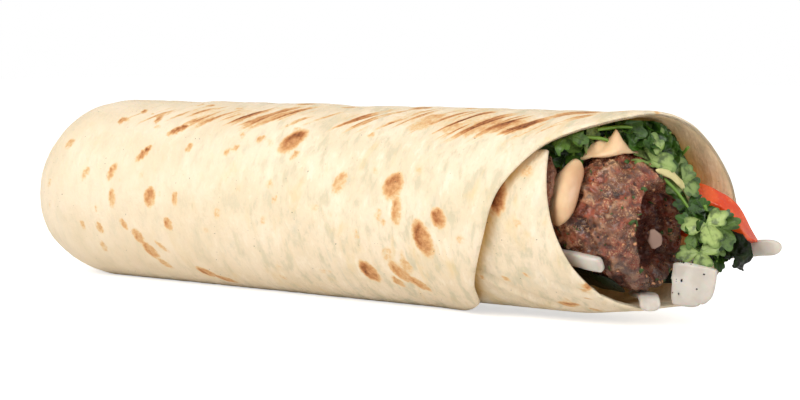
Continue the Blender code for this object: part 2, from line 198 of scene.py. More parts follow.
class Look:
    """A Principled material and the few node forms that the looks below share. Sizes are millimetres."""

    def __init__(self, name, roughness=0.6, **sockets):
        self.material = bpy.data.materials.new(name)
        self.material.use_nodes = True
        self.tree = self.material.node_tree
        self.shader = self.tree.nodes["Principled BSDF"]
        self.shader.inputs["Roughness"].default_value = roughness
        for socket, value in sockets.items():
            self.shader.inputs[socket.replace("_", " ")].default_value = value
        self.place = self.tree.nodes.new("ShaderNodeTexCoord").outputs["Object"]

    def put(self, socket, value):
        if isinstance(value, bpy.types.NodeSocket):
            self.tree.links.new(value, socket)
        else:
            socket.default_value = value

    def noise(self, size, detail=3.0, rough=0.5, where=None, distort=0.0):
        node = self.tree.nodes.new("ShaderNodeTexNoise")
        self.put(node.inputs["Vector"], where or self.place)
        node.inputs["Scale"].default_value = 1.0 / (size * MM) if where is None else 1.0 / size
        node.inputs["Detail"].default_value = detail
        node.inputs["Roughness"].default_value = rough
        node.inputs["Distortion"].default_value = distort
        return node.outputs["Fac"]

    def cells(self, size, where=None):
        """How far each point is from the middle of its cell, for cells about size across."""
        node = self.tree.nodes.new("ShaderNodeTexVoronoi")
        node.feature = "SMOOTH_F1"
        self.put(node.inputs["Vector"], where or self.place)
        node.inputs["Scale"].default_value = 1.0 / (size * MM)
        return node.outputs["Distance"]

    def value(self, key):
        node = self.tree.nodes.new("ShaderNodeAttribute")
        node.attribute_name = key
        return node.outputs["Fac"]

    def vector(self, key):
        node = self.tree.nodes.new("ShaderNodeAttribute")
        node.attribute_name = key
        return node.outputs["Vector"]

    def mapped(self, vector, scale, turn=0.0):
        node = self.tree.nodes.new("ShaderNodeMapping")
        self.put(node.inputs["Vector"], vector)
        node.inputs["Scale"].default_value = scale
        node.inputs["Rotation"].default_value = (0.0, 0.0, math.radians(turn))
        return node.outputs["Vector"]

    def sum(self, first, second, by="ADD", clamp=False):
        node = self.tree.nodes.new("ShaderNodeMath")
        node.operation = by
        node.use_clamp = clamp
        self.put(node.inputs[0], first)
        self.put(node.inputs[1], second)
        return node.outputs[0]

    def scaled(self, value, low, high, to_low=0.0, to_high=1.0):
        node = self.tree.nodes.new("ShaderNodeMapRange")
        node.interpolation_type = "SMOOTHSTEP"
        self.put(node.inputs["Value"], value)
        for key, number in (("From Min", low), ("From Max", high), ("To Min", to_low), ("To Max", to_high)):
            node.inputs[key].default_value = number
        return node.outputs["Result"]

    def blend(self, share, first, second, kind="MIX"):
        node = self.tree.nodes.new("ShaderNodeMix")
        node.data_type = "RGBA"
        node.blend_type = kind
        self.put(node.inputs["Factor"], share)
        for key, color in (("A", first), ("B", second)):
            socket = [s for s in node.inputs if s.name == key and s.type == "RGBA"][0]
            self.put(socket, rgb(color) if isinstance(color, tuple) else color)
        return [s for s in node.outputs if s.type == "RGBA"][0]

    def steps(self, share, stops):
        node = self.tree.nodes.new("ShaderNodeValToRGB")
        band = node.color_ramp
        while len(band.elements) < len(stops):
            band.elements.new(0.5)
        for element, (place, color) in zip(band.elements, stops):
            element.position = place
            element.color = rgb(color)
        self.put(node.inputs["Fac"], share)
        return node.outputs["Color"]

    def color(self, value):
        self.put(self.shader.inputs["Base Color"], value)

    def rough(self, value):
        self.put(self.shader.inputs["Roughness"], value)

    def bump(self, height, depth):
        """depth is the height in millimetres that a value of 1 stands for."""
        node = self.tree.nodes.new("ShaderNodeBump")
        node.inputs["Distance"].default_value = depth * MM
        node.inputs["Strength"].default_value = 1.0
        self.put(node.inputs["Height"], height)
        self.tree.links.new(node.outputs["Normal"], self.shader.inputs["Normal"])


def rgb(color):
    """An sRGB colour, 0 to 255 each, as Blender's linear colour."""
    parts = [c / 255.0 for c in color]
    linear = [c / 12.92 if c <= 0.04045 else ((c + 0.055) / 1.055) ** 2.4 for c in parts]
    return (*linear, 1.0)


def bread_look():
    look = Look("bread", roughness=0.74, Specular_IOR_Level=0.2, Subsurface_Weight=0.10, Subsurface_Scale=0.002)
    look.shader.inputs["Subsurface Radius"].default_value = (1.0, 0.6, 0.3)
    flat = look.vector("sheet")
    drawn = look.mapped(flat, (1.0, 0.42, 1.0))
    wide = look.noise(24.0, 3.0, 0.5, where=flat)
    mottle = look.noise(4.2, 4.0, 0.62, where=drawn)
    patch = look.noise(8.0, 3.0, 0.6, where=drawn, distort=0.6)
    fine = look.noise(1.0, 3.0, 0.6, where=drawn)
    # The skin is smooth by the closed end and more mottled towards the mouth.
    dry = look.scaled(look.value("along"), -70.0, 30.0, 0.30, 1.0)
    base = look.blend(look.scaled(wide, 0.38, 0.62), (244, 225, 196), (237, 217, 185))
    for share, color in (
        (look.scaled(mottle, 0.48, 0.66, 0.0, 0.8), (212, 200, 168)),
        (look.scaled(mottle, 0.34, 0.46, 0.6, 0.0), (252, 236, 211)),
        (look.scaled(patch, 0.56, 0.74, 0.0, 0.6), (232, 204, 150)),
        (look.scaled(patch, 0.28, 0.42, 0.5, 0.0), (214, 205, 180)),
        (look.scaled(fine, 0.55, 0.75, 0.0, 0.35), (212, 190, 154)),
    ):
        base = look.blend(look.sum(share, dry, "MULTIPLY"), base, color)
    # The inner face is painted golden: partly the bread's own oil-soaked colour, partly painted shade and warm bounced
    # light inside the roll.
    golden = look.blend(look.scaled(mottle, 0.4, 0.6), (230, 176, 82), (208, 150, 60))
    base = look.blend(look.value("inside"), base, golden)
    # Painted light and shade: a golden tint on the inner layer just past the flap's edge.
    base = look.blend(look.sum(look.value("tucked"), 0.8, "MULTIPLY"), base, (222, 180, 96))
    # Toasted marks: spots, and streaks from a hot grill, both broken up by fine noise.
    slant = look.vector("slant")
    streak = look.noise(1.0, 2.0, 0.55, where=look.mapped(slant, (0.030, 0.34, 1.0)), distort=0.1)
    thin = look.noise(1.0, 2.0, 0.5, where=look.mapped(slant, (0.05, 0.8, 1.0)))
    streak = look.sum(look.scaled(streak, 0.48, 0.62), look.scaled(thin, 0.35, 0.6, 0.55, 1.0), "MULTIPLY")
    grill = look.value("grill")
    streaks = look.sum(look.sum(streak, 0.62, "MULTIPLY"), look.scaled(grill, 0.5, 1.0, 0.0, 0.22))
    streaks = look.sum(streaks, grill, "MULTIPLY")
    marks = look.sum(look.value("toast"), streaks, "MAXIMUM")
    ragged = look.scaled(look.noise(1.5, 4.0, 0.65, where=flat), 0.32, 0.68, -0.09, 0.09)
    heat = look.sum(marks, look.sum(ragged, look.scaled(marks, 0.06, 0.3), "MULTIPLY"), clamp=True)
    toast = look.steps(
        heat,
        (
            (0.0, (243, 224, 186)), (0.30, (232, 196, 146)), (0.50, (214, 158, 104)),
            (0.72, (172, 108, 62)), (0.92, (104, 60, 36)),
        ),
    )
    base = look.blend(look.scaled(heat, 0.08, 0.34), base, toast)
    speck = look.scaled(look.noise(0.9, 1.0, 0.5, where=flat), 0.735, 0.76)
    speck = look.sum(speck, look.scaled(look.noise(9.0, 1.0, 0.5, where=flat), 0.5, 0.6), "MULTIPLY")
    base = look.blend(look.sum(speck, 0.75, "MULTIPLY"), base, (88, 72, 48))
    look.color(base)
    # Painted light: the inner face glows a little golden, for the light that comes through the thin bread.
    look.put(look.shader.inputs["Emission Color"], golden)
    look.put(look.shader.inputs["Emission Strength"], look.sum(look.value("inside"), 0.10, "MULTIPLY"))
    look.rough(look.scaled(heat, 0.2, 0.8, 0.74, 0.6))
    height = look.sum(look.sum(fine, 0.35, "MULTIPLY"), look.sum(mottle, 0.65, "MULTIPLY"))
    look.bump(height, 0.9)
    return look.material


# ------------------------------------------------------------------ flatbread


def sheet_turn(angle, inner=False):
    """The turn along the sheet of the layer that shows at an angle; inner picks the layer beneath."""
    turn = (FIRST_ANGLE - angle) % 360.0
    return turn if inner or turn >= LAST_TURN - 360.0 else turn + 360.0


# Toasted marks: x, angle, half length, half width, slant in degrees up to the right, tone, inner layer.
MARKS = (
    (-96, -58, 2.6, 2.0, 40, 0.50, 0), (-84, -78, 3.0, 1.5, 60, 0.44, 0), (-72, -76, 3.4, 1.6, 66, 0.66, 0),
    (-71, -92, 3.4, 1.7, 88, 0.56, 0), (-60, -63, 3.8, 1.5, 52, 0.90, 0), (-50, -45, 4.0, 1.6, 34, 1.00, 0),
    (-60, -43, 1.8, 1.1, 10, 0.40, 0), (-41, -58, 2.0, 1.5, 70, 0.60, 0), (-54, -90, 3.4, 2.3, 80, 0.80, 0),
    (-43, -90, 2.5, 1.4, 80, 0.60, 0), (-87, -111, 1.9, 1.3, 80, 0.48, 0), (-79, -112, 2.2, 1.6, 100, 0.60, 0),
    (-79, -99, 1.6, 0.9, 60, 0.40, 0), (-67, -108, 2.3, 1.3, 120, 0.66, 0), (-47, -106, 2.4, 1.8, 100, 0.66, 0),
    (-62, -116, 3.2, 2.1, 112, 0.62, 0), (-59, -126, 3.9, 2.5, 122, 0.66, 0), (-56, -137, 3.2, 1.8, 126, 0.50, 0),
    (-53, -122, 3.4, 1.2, 130, 0.46, 0), (-81, -126, 2.8, 1.6, 80, 0.40, 0), (-40, -142, 3.6, 2.2, 140, 0.76, 0),
    (-34, -149, 4.0, 1.9, 150, 0.66, 0), (-24, -60, 1.6, 1.2, 60, 0.56, 0), (-21, -57, 1.6, 1.1, 60, 0.56, 0),
    (-13, -50, 1.9, 1.4, 50, 0.60, 0), (0, -50, 5.4, 3.3, 52, -0.98, 0), (3, -60, 2.2, 1.2, 50, 0.56, 0),
    (23, -75, 4.2, 2.3, 66, 0.50, 0), (43, -75, 4.3, 3.3, 60, -0.84, 0), (45, -89, 4.6, 1.9, 85, 0.62, 0),
    (54, -103, 5.8, 3.0, 108, -0.90, 0), (60, -91, 3.1, 2.3, 110, 0.96, 0), (31, -127, 4.4, 2.8, 112, -0.96, 0),
    (43, -126, 5.0, 2.4, 128, 0.66, 0), (48, -134, 3.8, 1.7, 132, 0.70, 0), (40, -133, 2.8, 1.5, 118, 0.60, 0),
    (46, -120, 3.2, 1.8, 110, 0.46, 0), (40, -114, 3.0, 2.2, 70, 0.34, 0), (40, -95, 1.0, 0.8, 90, 0.70, 0),
    (-25, -97, 2.2, 1.6, 80, 0.36, 0), (30, -103, 2.0, 1.2, 90, 0.36, 0), (36, -10, 3.6, 1.6, 10, 0.95, 0),
    (-10, -8, 3.4, 1.4, 10, 0.85, 0), (8, -9, 2.8, 1.3, 10, 0.80, 0), (86, -61, 2.6, 2.2, 90, 0.42, 1),
    (78, -76, 6.4, 2.6, 96, 1.30, 1), (94, -149, 3.6, 1.9, 0, 0.74, 1), (92, -12, 6.5, 2.4, 24, 0.85, 0),
    (56, -35, 4.0, 2.2, 30, 0.52, 0), (66, -33, 6.5, 3.2, 34, 0.60, 0), (74, -32, 6.0, 2.6, 34, 0.60, 0),
    (46, -26, 4.2, 2.6, 20, 0.55, 0), (44, -34, 4.6, 2.8, 20, 0.45, 0),
)


MARK_SIZE = 0.90
MARK_TONE = 0.94


def toast_field(x, turn):
    """How toasted the sheet is at each point, from the listed marks and a scatter of small ones."""
    rng = np.random.default_rng(8)
    marks = []
    for at, angle, half, wide, slant, tone, inner in MARKS:
        marks.append((at, sheet_turn(angle, inner), half * MARK_SIZE, wide * MARK_SIZE, slant, tone * MARK_TONE))
    for _ in range(150):
        at, around = rng.uniform(-118, 120), rng.uniform(0, LAST_TURN)
        half = rng.uniform(0.7, 1.5)
        seen_side = 360.0 < around < 490.0
        tone = rng.uniform(0.2, 0.36) if seen_side else rng.uniform(0.25, 0.8)
        marks.append((at, around, half * rng.uniform(1.0, 1.9), half, rng.uniform(0, 180), tone))
    for _ in range(16):
        at, around = rng.uniform(-105, 105), rng.uniform(160.0, 300.0)
        marks.append((at, around, rng.uniform(3, 6), rng.uniform(1.8, 3.2), rng.uniform(20, 160), -rng.uniform(0.6, 0.95)))
    field = np.zeros(x.shape)
    for at, around, half, wide, slant, tone in marks:
        east = x - at
        down = np.radians(turn - around) * ROLL_RADIUS
        lean = math.radians(slant)
        along = (east * math.cos(lean) - down * math.sin(lean)) / half
        across = (east * math.sin(lean) + down * math.cos(lean)) / wide
        away = np.sqrt(along**2 + across**2)
        spot = (0.10 + abs(tone) * 0.52) * (1.0 - ramp(away, 0.65, 1.65))
        # Most blisters are darkest along one side, where they stood highest.
        burnt = np.exp(-((away - 0.72) ** 2) * 7.0) * ramp(along * 0.8 - across, -0.3, 1.0)
        spot += (abs(tone) * 0.62 - 0.16) * burnt * (0.8 if tone < 0 else 0.9)
        field = np.maximum(field, spot)
    return field


def grill_field(x, turn):
    """Where the bread lay on the grill's bars: over the top, on the near side of it."""
    field = np.zeros(x.shape)
    for at, angle, half, wide, tone in (
        (-66, -29, 14, 6, 0.80), (-45, -28, 16, 8, 0.96), (-26, -29, 16, 8, 1.0), (-10, -25, 14, 8, 0.9),
        (16, -27, 14, 8, 0.9), (38, -25, 14, 9, 1.0), (60, -28, 18, 9, 1.12), (78, -30, 14, 8, 1.05),
        (90, -16, 10, 6, 0.9),
        (-70, 60, 30, 14, 0.6), (10, 75, 34, 13, 0.8), (80, 55, 20, 12, 0.7),
    ):
        east = (x - at) / half
        down = np.radians(turn - sheet_turn(angle)) * ROLL_RADIUS / wide
        field = np.maximum(field, tone * np.exp(-((east**2 + down**2) ** 1.5) * 0.8))
    return field


def bread_sheet(turns, rows, dome_rows):
    """The sheet's outer face as a grid of points, with each point's x along the roll and closedness."""
    straight = rows - dome_rows
    turn = turns[:, None] + np.zeros((1, rows))
    front = MOUTH_X - through(FRONT_EDGE, turns)[:, None]
    row = np.arange(rows)[None, :]
    share = np.clip(row / (straight - 1), 0.0, 1.0)
    x = front + (DOME_X - front) * share**0.92
    bend = np.radians(DOME_SWEEP) * np.clip((row - straight + 1) / dome_rows, 0.0, 1.0) + 0.0 * turn
    depth = LAYER_PITCH * (LAST_TURN - turn) / 360.0
    out_x, out_r = np.sin(bend) / DOME_LENGTH, np.cos(bend) / ROLL_RADIUS
    size = np.hypot(out_x, out_r)
    closed = 1.0 - np.cos(bend)
    x = x - DOME_LENGTH * np.sin(bend) + depth * out_x / size
    radius = ROLL_RADIUS * np.cos(bend) - depth * out_r / size
    angle = np.radians(FIRST_ANGLE - turn)
    side, up = np.sin(angle), np.cos(angle)
    below = np.clip(-up, 0.0, 1.0)
    from_edge = front - x
    here = stack(x, side * ROLL_RADIUS, up * ROLL_RADIUS)
    sheet = stack(x, np.radians(turn) * ROLL_RADIUS, 0.0 * x)
    # Broad unevenness is shared by all layers, and the finer kinds belong to the sheet itself.
    radius += 0.50 * uneven(here, 30.0, 3) * (1 - below) * (1 - closed)
    radius += 0.42 * uneven(sheet * (1.0, 0.6, 1.0), 13.0, 5) * (1 - below**2) * (1 - closed)
    radius += 0.13 * uneven(sheet * (1.0, 0.4, 1.0), 4.0, 7) + 0.06 * uneven(sheet, 2.6, 6)
    # The free edge stands a little off the layer beneath and waves along its length.
    wave = 0.75 + 0.5 * uneven(sheet * (0, 1, 0), 22.0, 9)
    lifted = ramp(turn, 335.0, 365.0) * (1.0 - ramp(turn, 455.0, 490.0))
    radius += 1.7 * lifted * wave * (1.0 - ramp(from_edge, 0.0, 13.0))
    radius += 0.30 * uneven(sheet * (0, 1, 0), 14.0, 11) * (1.0 - ramp(from_edge, 0.0, 9.0))
    # Creases on the inner layer by the mouth.
    for start_x, start_angle, end_x, end_angle, deep, wide in (
        (69.0, -122.0, 92.0, -153.0, 0.75, 1.5), (93.0, -128.0, 106.0, -137.0, 0.45, 1.1),
        (80.0, -64.0, 84.0, -96.0, 0.22, 2.6), (99.0, -96.0, 103.0, -122.0, 0.20, 1.6),
    ):
        start = np.array((start_x, math.radians(sheet_turn(start_angle, True)) * ROLL_RADIUS))
        end = np.array((end_x, math.radians(sheet_turn(end_angle, True)) * ROLL_RADIUS))
        way = end - start
        length = np.linalg.norm(way)
        way /= length
        from_start = sheet[..., :2] - start
        along = from_start @ way
        across = from_start @ np.array((-way[1], way[0]))
        inside = ramp(along, -3.0, 3.0) * (1.0 - ramp(along, length - 3.0, length + 3.0))
        radius += inside * deep * (0.55 * np.exp(-(((across - 1.6 * wide) / wide) ** 2)))
        radius -= inside * deep * np.exp(-((across / (0.6 * wide)) ** 2))
    # The gathered end: pleats that deepen and turn towards the middle.
    pleat = np.abs(np.sin(np.radians(turn * 2.5) + 1.8 * closed + 0.9 * uneven(sheet, 25.0, 12)))
    gathered = ramp(closed, 0.25, 0.85)
    radius -= 1.5 * gathered * (1.0 - pleat) ** 2 * np.clip(radius / 9.0, 0.0, 1.0)
    height = AXIS_Z + up * radius - DOME_FALL * closed
    x = x + DOME_LEAN * closed * up * radius
    floor = LAYER_PITCH * np.floor((LAST_TURN - turn) / 360.0)
    height = np.maximum(height, floor)
    height += MOUTH_LIFT * ramp(x, *LIFT_X) * below**2
    return stack(x, side * radius, height), sheet, from_edge, turn


def make_bread():
    columns, rows, dome_rows = 250, 170, 40
    turns = np.linspace(0.0, LAST_TURN, columns)
    outer, sheet, from_edge, turn = bread_sheet(turns, rows, dome_rows)
    normal = normals_of(outer)
    axis = np.array((0.0, 0.0, AXIS_Z))
    if (normal[columns // 2, 10] * (outer[columns // 2, 10] - axis)).sum() < 0:
        normal = -normal
    edge = 1.0 - ramp(from_edge, 0.0, 7.0)
    thickness = BREAD_THICKNESS * (1.0 - 0.30 * edge) + 0.10 * uneven(sheet, 6.0, 21)
    inner = outer - normal * thickness[..., None]
    # A rounded rim: one more row of points stands out beyond each free edge.
    ahead = outer[:, 0] - outer[:, 1]
    ahead /= np.linalg.norm(ahead, axis=1)[:, None]
    middle = (outer + inner) / 2
    mouth = middle[:, 0] + ahead * 0.35 * thickness[:, :1]
    count = columns * rows
    points = np.concatenate([outer.reshape(-1, 3), inner.reshape(-1, 3), mouth])
    quads = grid_quads(columns, rows, flip=True) + grid_quads(columns, rows, start=count)
    rim = 2 * count
    for c in range(columns - 1):
        quads.append((c * rows, rim + c, rim + c + 1, (c + 1) * rows))
        quads.append((rim + c, count + c * rows, count + (c + 1) * rows, rim + c + 1))
        last = c * rows + rows - 1
        quads.append((last, last + rows, count + last + rows, count + last))
    for r in range(rows - 1):
        quads.append((r, r + 1, count + r + 1, count + r))
        far = (columns - 1) * rows + r
        quads.append((far, count + far, count + far + 1, far + 1))
    toast = toast_field(outer[..., 0], turn)
    grill = grill_field(outer[..., 0], turn)
    faint = 0.25 * toast
    # Painted light and shade: the inner layer is tinted golden by the flap's edge, for the light that comes through
    # the flap's bread and the shade under the flap.
    flap = MOUTH_X - through(FRONT_EDGE, np.minimum(turns + 360.0, LAST_TURN))[:, None]
    flap_light_and_shade = (1.0 - ramp(outer[..., 0], flap - 1.0, flap + 2.5)) * ramp(turn, 0.0, 20.0) * (turn < 150.0)
    sheet_mm = sheet.reshape(-1, 3)
    slant = math.radians(46.0)
    along = sheet_mm[:, 0] * math.cos(slant) - sheet_mm[:, 1] * math.sin(slant)
    across = sheet_mm[:, 0] * math.sin(slant) + sheet_mm[:, 1] * math.cos(slant)
    slanted = np.stack([along, across, 0 * along], 1)
    shift = np.array((300.0, 900.0, 40.0))
    rims = sheet[:, 0]
    # How strongly the inner face is painted golden as shade and bounced light: less by the rim and towards the bottom.
    golden = (0.25 + 0.75 * ramp(from_edge, 2.0, 13.0)) * (0.35 + 0.65 * ramp(inner[..., 2], 12.0, 34.0))
    golden = golden.ravel()
    values = {
        "toast": np.concatenate([toast.ravel(), faint.ravel(), toast[:, 0]]),
        "inside": np.concatenate([0.0 * golden, golden, 0.0 * turns]),
        "tucked": np.concatenate([flap_light_and_shade.ravel(), 0.0 * golden, flap_light_and_shade[:, 0]]),
        "grill": np.concatenate([grill.ravel(), 0.0 * grill.ravel(), grill[:, 0]]),
        "along": np.concatenate([sheet_mm[:, 0], sheet_mm[:, 0], rims[:, 0]]),
        "sheet": np.concatenate([sheet_mm, sheet_mm + shift, rims]),
        "slant": np.concatenate([slanted, slanted, slanted.reshape(columns, rows, 3)[:, 0]]),
    }
    return piece("bread", points, quads, bread_look(), ["flatbread"], values)


make_bread()


# ------------------------------------------------------------------ the room inside, as in the CAD

FILL_BACK = -103.0
FILL_ROOM = 0.8
GAP = 0.5
SAUCE_THICKNESS = 2.0


def direction(angle):
    """Unit vectors across the roll at angles in degrees."""
    turn = np.radians(angle)
    return stack(0.0, np.sin(turn), np.cos(turn))


def inner_radius(angle):
    turn = (FIRST_ANGLE - angle) % 360.0
    return ROLL_RADIUS - LAYER_PITCH * (LAST_TURN - turn) / 360.0 - BREAD_THICKNESS - FILL_ROOM


def front_edge(angle):
    """Where the bread's innermost layer ends towards the mouth, at an angle."""
    turn = (FIRST_ANGLE - angle) % 360.0
    return MOUTH_X - through(FRONT_EDGE, turn.ravel()).reshape(turn.shape)


def meat_middle(x):
    x = np.asarray(x, float)
    line = through(MEAT_LINE, np.minimum(x.ravel(), MEAT_END))
    return stack(x, line[:, 0].reshape(x.shape), line[:, 1].reshape(x.shape))


def meat_radius(x, angle):
    """The kebab's radius about its own middle, with its broad lumps."""
    middle = meat_middle(x)
    radius = through(MEAT_LINE, np.minimum(np.ravel(x), MEAT_END))[:, 2].reshape(np.shape(x))
    place = middle + direction(angle) * radius[..., None]
    return radius + 0.5 * uneven(place, 9.0, 31)


def wall_distance(x, angle):
    """How far the bread's inner face is from the kebab's middle, at an angle about that middle."""
    apart = meat_middle(x) - (0.0, 0.0, AXIS_Z)
    apart[..., 0] = 0.0
    away = direction(angle)
    along = (apart * away).sum(-1)
    square = (apart**2).sum(-1)
    reach = inner_radius(np.asarray(angle, float) + 0.0 * along)
    for _ in range(3):
        distance = -along + np.sqrt(along**2 - square + reach**2)
        place = apart + away * distance[..., None]
        reach = inner_radius(np.degrees(np.arctan2(place[..., 1], place[..., 2])))
    return distance


def settle(points, room=0.5, past_edge=0.0):
    """Points moved out of the kebab and in from the bread, room clear of both.

    past_edge carries the bread's line on that far beyond its edge."""
    points = np.array(points, float)
    x = points[..., 0]
    middle = meat_middle(x)
    apart = points - middle
    angle = np.degrees(np.arctan2(apart[..., 1], apart[..., 2]))
    distance = np.linalg.norm(apart, axis=-1)
    least = (meat_radius(x, angle) + room) * (1.0 - ramp(x, MEAT_END + 1.0, MEAT_END + 3.0))
    push = np.maximum(least - distance, 0.0) / np.maximum(distance, 1.0)
    points += apart * push[..., None]
    apart = points - (0.0, 0.0, AXIS_Z)
    apart[..., 0] = 0.0
    angle = np.degrees(np.arctan2(apart[..., 1], apart[..., 2]))
    distance = np.linalg.norm(apart, axis=-1)
    most = np.where(x < front_edge(angle) + 1.0 + past_edge, inner_radius(angle) + FILL_ROOM - room, 1000.0)
    pull = np.maximum(distance - most, 0.0) / np.maximum(distance, 1.0)
    return points - apart * pull[..., None]


def end_share(x, back, front, nose):
    share = np.clip(np.minimum(x - back, front - x) / nose, 0.0, 1.0)
    return np.maximum(np.sqrt(1.0 - (1.0 - share) ** 2), 0.04)


def rounded(turn, squareness):
    across, up = np.cos(turn), np.sin(turn)
    return np.sign(across) * np.abs(across) ** squareness, np.sign(up) * np.abs(up) ** squareness


def places_along(back, front, nose, step):
    """Places along a bar, fine near its front end and coarse over its hidden length."""
    hidden = np.linspace(back + 0.01, max(min(70.0, front - 30.0), back + 0.02), 40)
    seen = np.arange(hidden[-1] + step, front - nose * 0.3, step)
    tip = front - nose * 0.3 * np.linspace(1.0, 0.001, 14) ** 2
    return np.concatenate([hidden, seen, tip])


def sector_rings(back, front, angles, inner, outer, sides, nose, step, squareness=0.65):
    """Rings of a bar beside the kebab; angles(x) are its edges, inner and outer its faces' distances."""
    x = places_along(back, front, nose, step)[:, None]
    turn = (np.arange(sides) + 0.5)[None, :] * 2 * np.pi / sides
    first, second = angles(x)
    share = end_share(x, back, front, nose)
    across, up = rounded(turn, squareness)
    angle = (first + second) / 2 + (second - first) / 2 * across * share
    x = x + 0.0 * angle
    low, high = inner(x, angle), outer(x, angle)
    distance = (low + high) / 2 + (high - low) / 2 * up * share
    return meat_middle(x) + direction(angle) * distance[..., None]


def path_rings(path, widths, thickness, wide, sides, steps, squareness=0.5, blunt=0.08):
    """Rings of a flat strip along a path of (share, x, y, z), as wide as widths(share) along wide."""
    share = (0.5 - 0.5 * np.cos(np.linspace(0.0, np.pi, steps)))
    middle = through(path, share)
    ahead = np.gradient(middle, axis=0)
    ahead /= np.linalg.norm(ahead, axis=1)[:, None]
    face = np.cross(ahead, np.array(wide, float))
    face /= np.linalg.norm(face, axis=1)[:, None]
    side = np.cross(face, ahead)
    turn = (np.arange(sides) + 0.5) * 2 * np.pi / sides
    across, up = rounded(turn, squareness)
    small = end_share(share, -0.0005, 1.0005, blunt)[:, None, None]
    wideness = np.asarray(widths(share), float)[:, None, None] + 0.0 * small
    offset = side[:, None] * across[None, :, None] * wideness + face[:, None] * up[None, :, None] * thickness
    return middle[:, None] + offset * small / 2


def roughened(rings, layers):
    """Rings pushed out and in along their normals by noise, each layer being (size, depth, seed)."""
    normal = normals_of(rings)
    middle = rings.mean(1, keepdims=True)
    if ((rings - middle) * normal).sum() < 0:
        normal = -normal
    push = sum(depth * uneven(rings, size, seed) for size, depth, seed in layers)
    return rings + normal * push[..., None]


# ------------------------------------------------------------------ looks of the filling


def meat_look(name, crust, flesh, grey):
    look = Look(name, roughness=0.34, Specular_IOR_Level=0.8, Coat_Weight=0.5, Coat_Roughness=0.14)
    grains = look.cells(1.5)
    lumps = look.noise(5.0, 3.0, 0.6)
    grain = look.noise(1.4, 4.0, 0.7)
    fine = look.noise(0.5, 3.0, 0.7)
    base = look.blend(look.scaled(lumps, 0.42, 0.60), crust, flesh)
    base = look.blend(look.scaled(grain, 0.54, 0.70, 0.0, 0.7), base, (168, 66, 42))
    raised = look.value("raised")
    # Raised lumps are paler, partly the fat's own colour and partly painted highlight; sunken ones are painted dark as
    # shade.
    base = look.blend(look.scaled(raised, 0.1, 1.5, 0.0, 0.42), base, grey)
    base = look.blend(look.scaled(raised, -1.3, -0.1, 0.85, 0.0), base, (40, 16, 12))
    # Pale granules: partly bits of fat, partly painted glints.
    granules = look.sum(look.scaled(fine, 0.53, 0.62), look.scaled(look.noise(3.0, 3.0), 0.42, 0.56), "MULTIPLY")
    base = look.blend(look.sum(granules, 0.85, "MULTIPLY"), base, grey)
    # Painted shade in the dents of the grain and in the crevices between granules.
    base = look.blend(look.scaled(grain, 0.26, 0.40, 0.8, 0.0), base, (34, 15, 12))
    base = look.blend(look.scaled(grains, 0.42, 0.66, 0.0, 0.65), base, (48, 20, 12))
    base = look.blend(look.sum(look.value("deep"), 0.5, "MULTIPLY"), base, (122, 40, 28))
    # Painted shade: darker towards the kebab's bottom.
    base = look.blend(look.sum(look.value("low"), 0.62, "MULTIPLY"), base, (60, 24, 10))
    look.color(base)
    look.rough(look.scaled(look.noise(2.0, 3.0, 0.6), 0.35, 0.65, 0.2, 0.55))
    height = look.sum(look.sum(fine, 0.3, "MULTIPLY"), look.sum(grain, 0.5, "MULTIPLY"))
    look.bump(look.sum(height, look.sum(grains, -0.5, "MULTIPLY")), 2.2)
    return look.material


def sauce_look():
    look = Look("sauce", roughness=0.36, Subsurface_Weight=0.15, Subsurface_Scale=0.002)
    base = look.blend(look.scaled(look.noise(7.0, 2.0), 0.35, 0.65), (240, 204, 160), (230, 188, 144))
    # Painted shade: the sauce turns browner where it runs under the kebab.
    base = look.blend(look.sum(look.value("meat_shade"), 0.7, "MULTIPLY"), base, (150, 96, 62))
    look.color(base)
    look.bump(look.noise(3.0, 2.0), 0.25)
    return look.material


def leaf_look(name, dark, middle, light, shine=0.5):
    look = Look(name, roughness=0.38, Specular_IOR_Level=shine)
    # Tone runs from dark to pale: partly each leaf's own green, partly painted shade on low tones and painted sheen on
    # high ones.
    base = look.steps(look.value("tone"), ((0.0, dark), (0.5, middle), (1.0, light)))
    base = look.blend(look.scaled(look.noise(2.2, 3.0), 0.46, 0.66, 0.0, 0.7), base, dark)
    base = look.blend(look.sum(look.value("vein"), 0.6, "MULTIPLY"), base, (104, 138, 52))
    base = look.blend(look.scaled(look.value("rim"), 0.78, 1.0, 0.0, 0.6), base, middle)
    look.color(base)
    look.bump(look.sum(look.noise(0.9, 2.0), look.sum(look.value("vein"), -0.8, "MULTIPLY")), 0.22)
    return look.material


def tomato_look():
    look = Look("tomato", roughness=0.26, Subsurface_Weight=0.12, Subsurface_Scale=0.0015)
    base = look.blend(look.scaled(look.noise(5.0, 3.0), 0.35, 0.65), (222, 66, 18), (236, 92, 32))
    # Painted highlight: small paler orange spots for glints on the wet flesh.
    base = look.blend(look.scaled(look.noise(1.2, 2.0), 0.62, 0.76, 0.0, 0.5), base, (248, 140, 82))
    look.color(base)
    look.bump(look.noise(1.4, 3.0), 0.25)
    return look.material


def onion_look():
    look = Look("onion", roughness=0.30, Subsurface_Weight=0.35, Subsurface_Scale=0.002)
    grain = look.noise(1.0, 3.0, 0.5, where=look.mapped(look.place, (160.0, 300.0, 160.0)))
    base = look.blend(look.scaled(grain, 0.38, 0.62), (216, 206, 192), (230, 223, 210))
    look.color(base)
    look.shader.inputs["Transmission Weight"].default_value = 0.18
    look.bump(grain, 0.12)
    return look.material


def plain_look(name, color, roughness=0.5):
    look = Look(name, roughness=roughness)
    look.color(rgb(color))
    return look.material


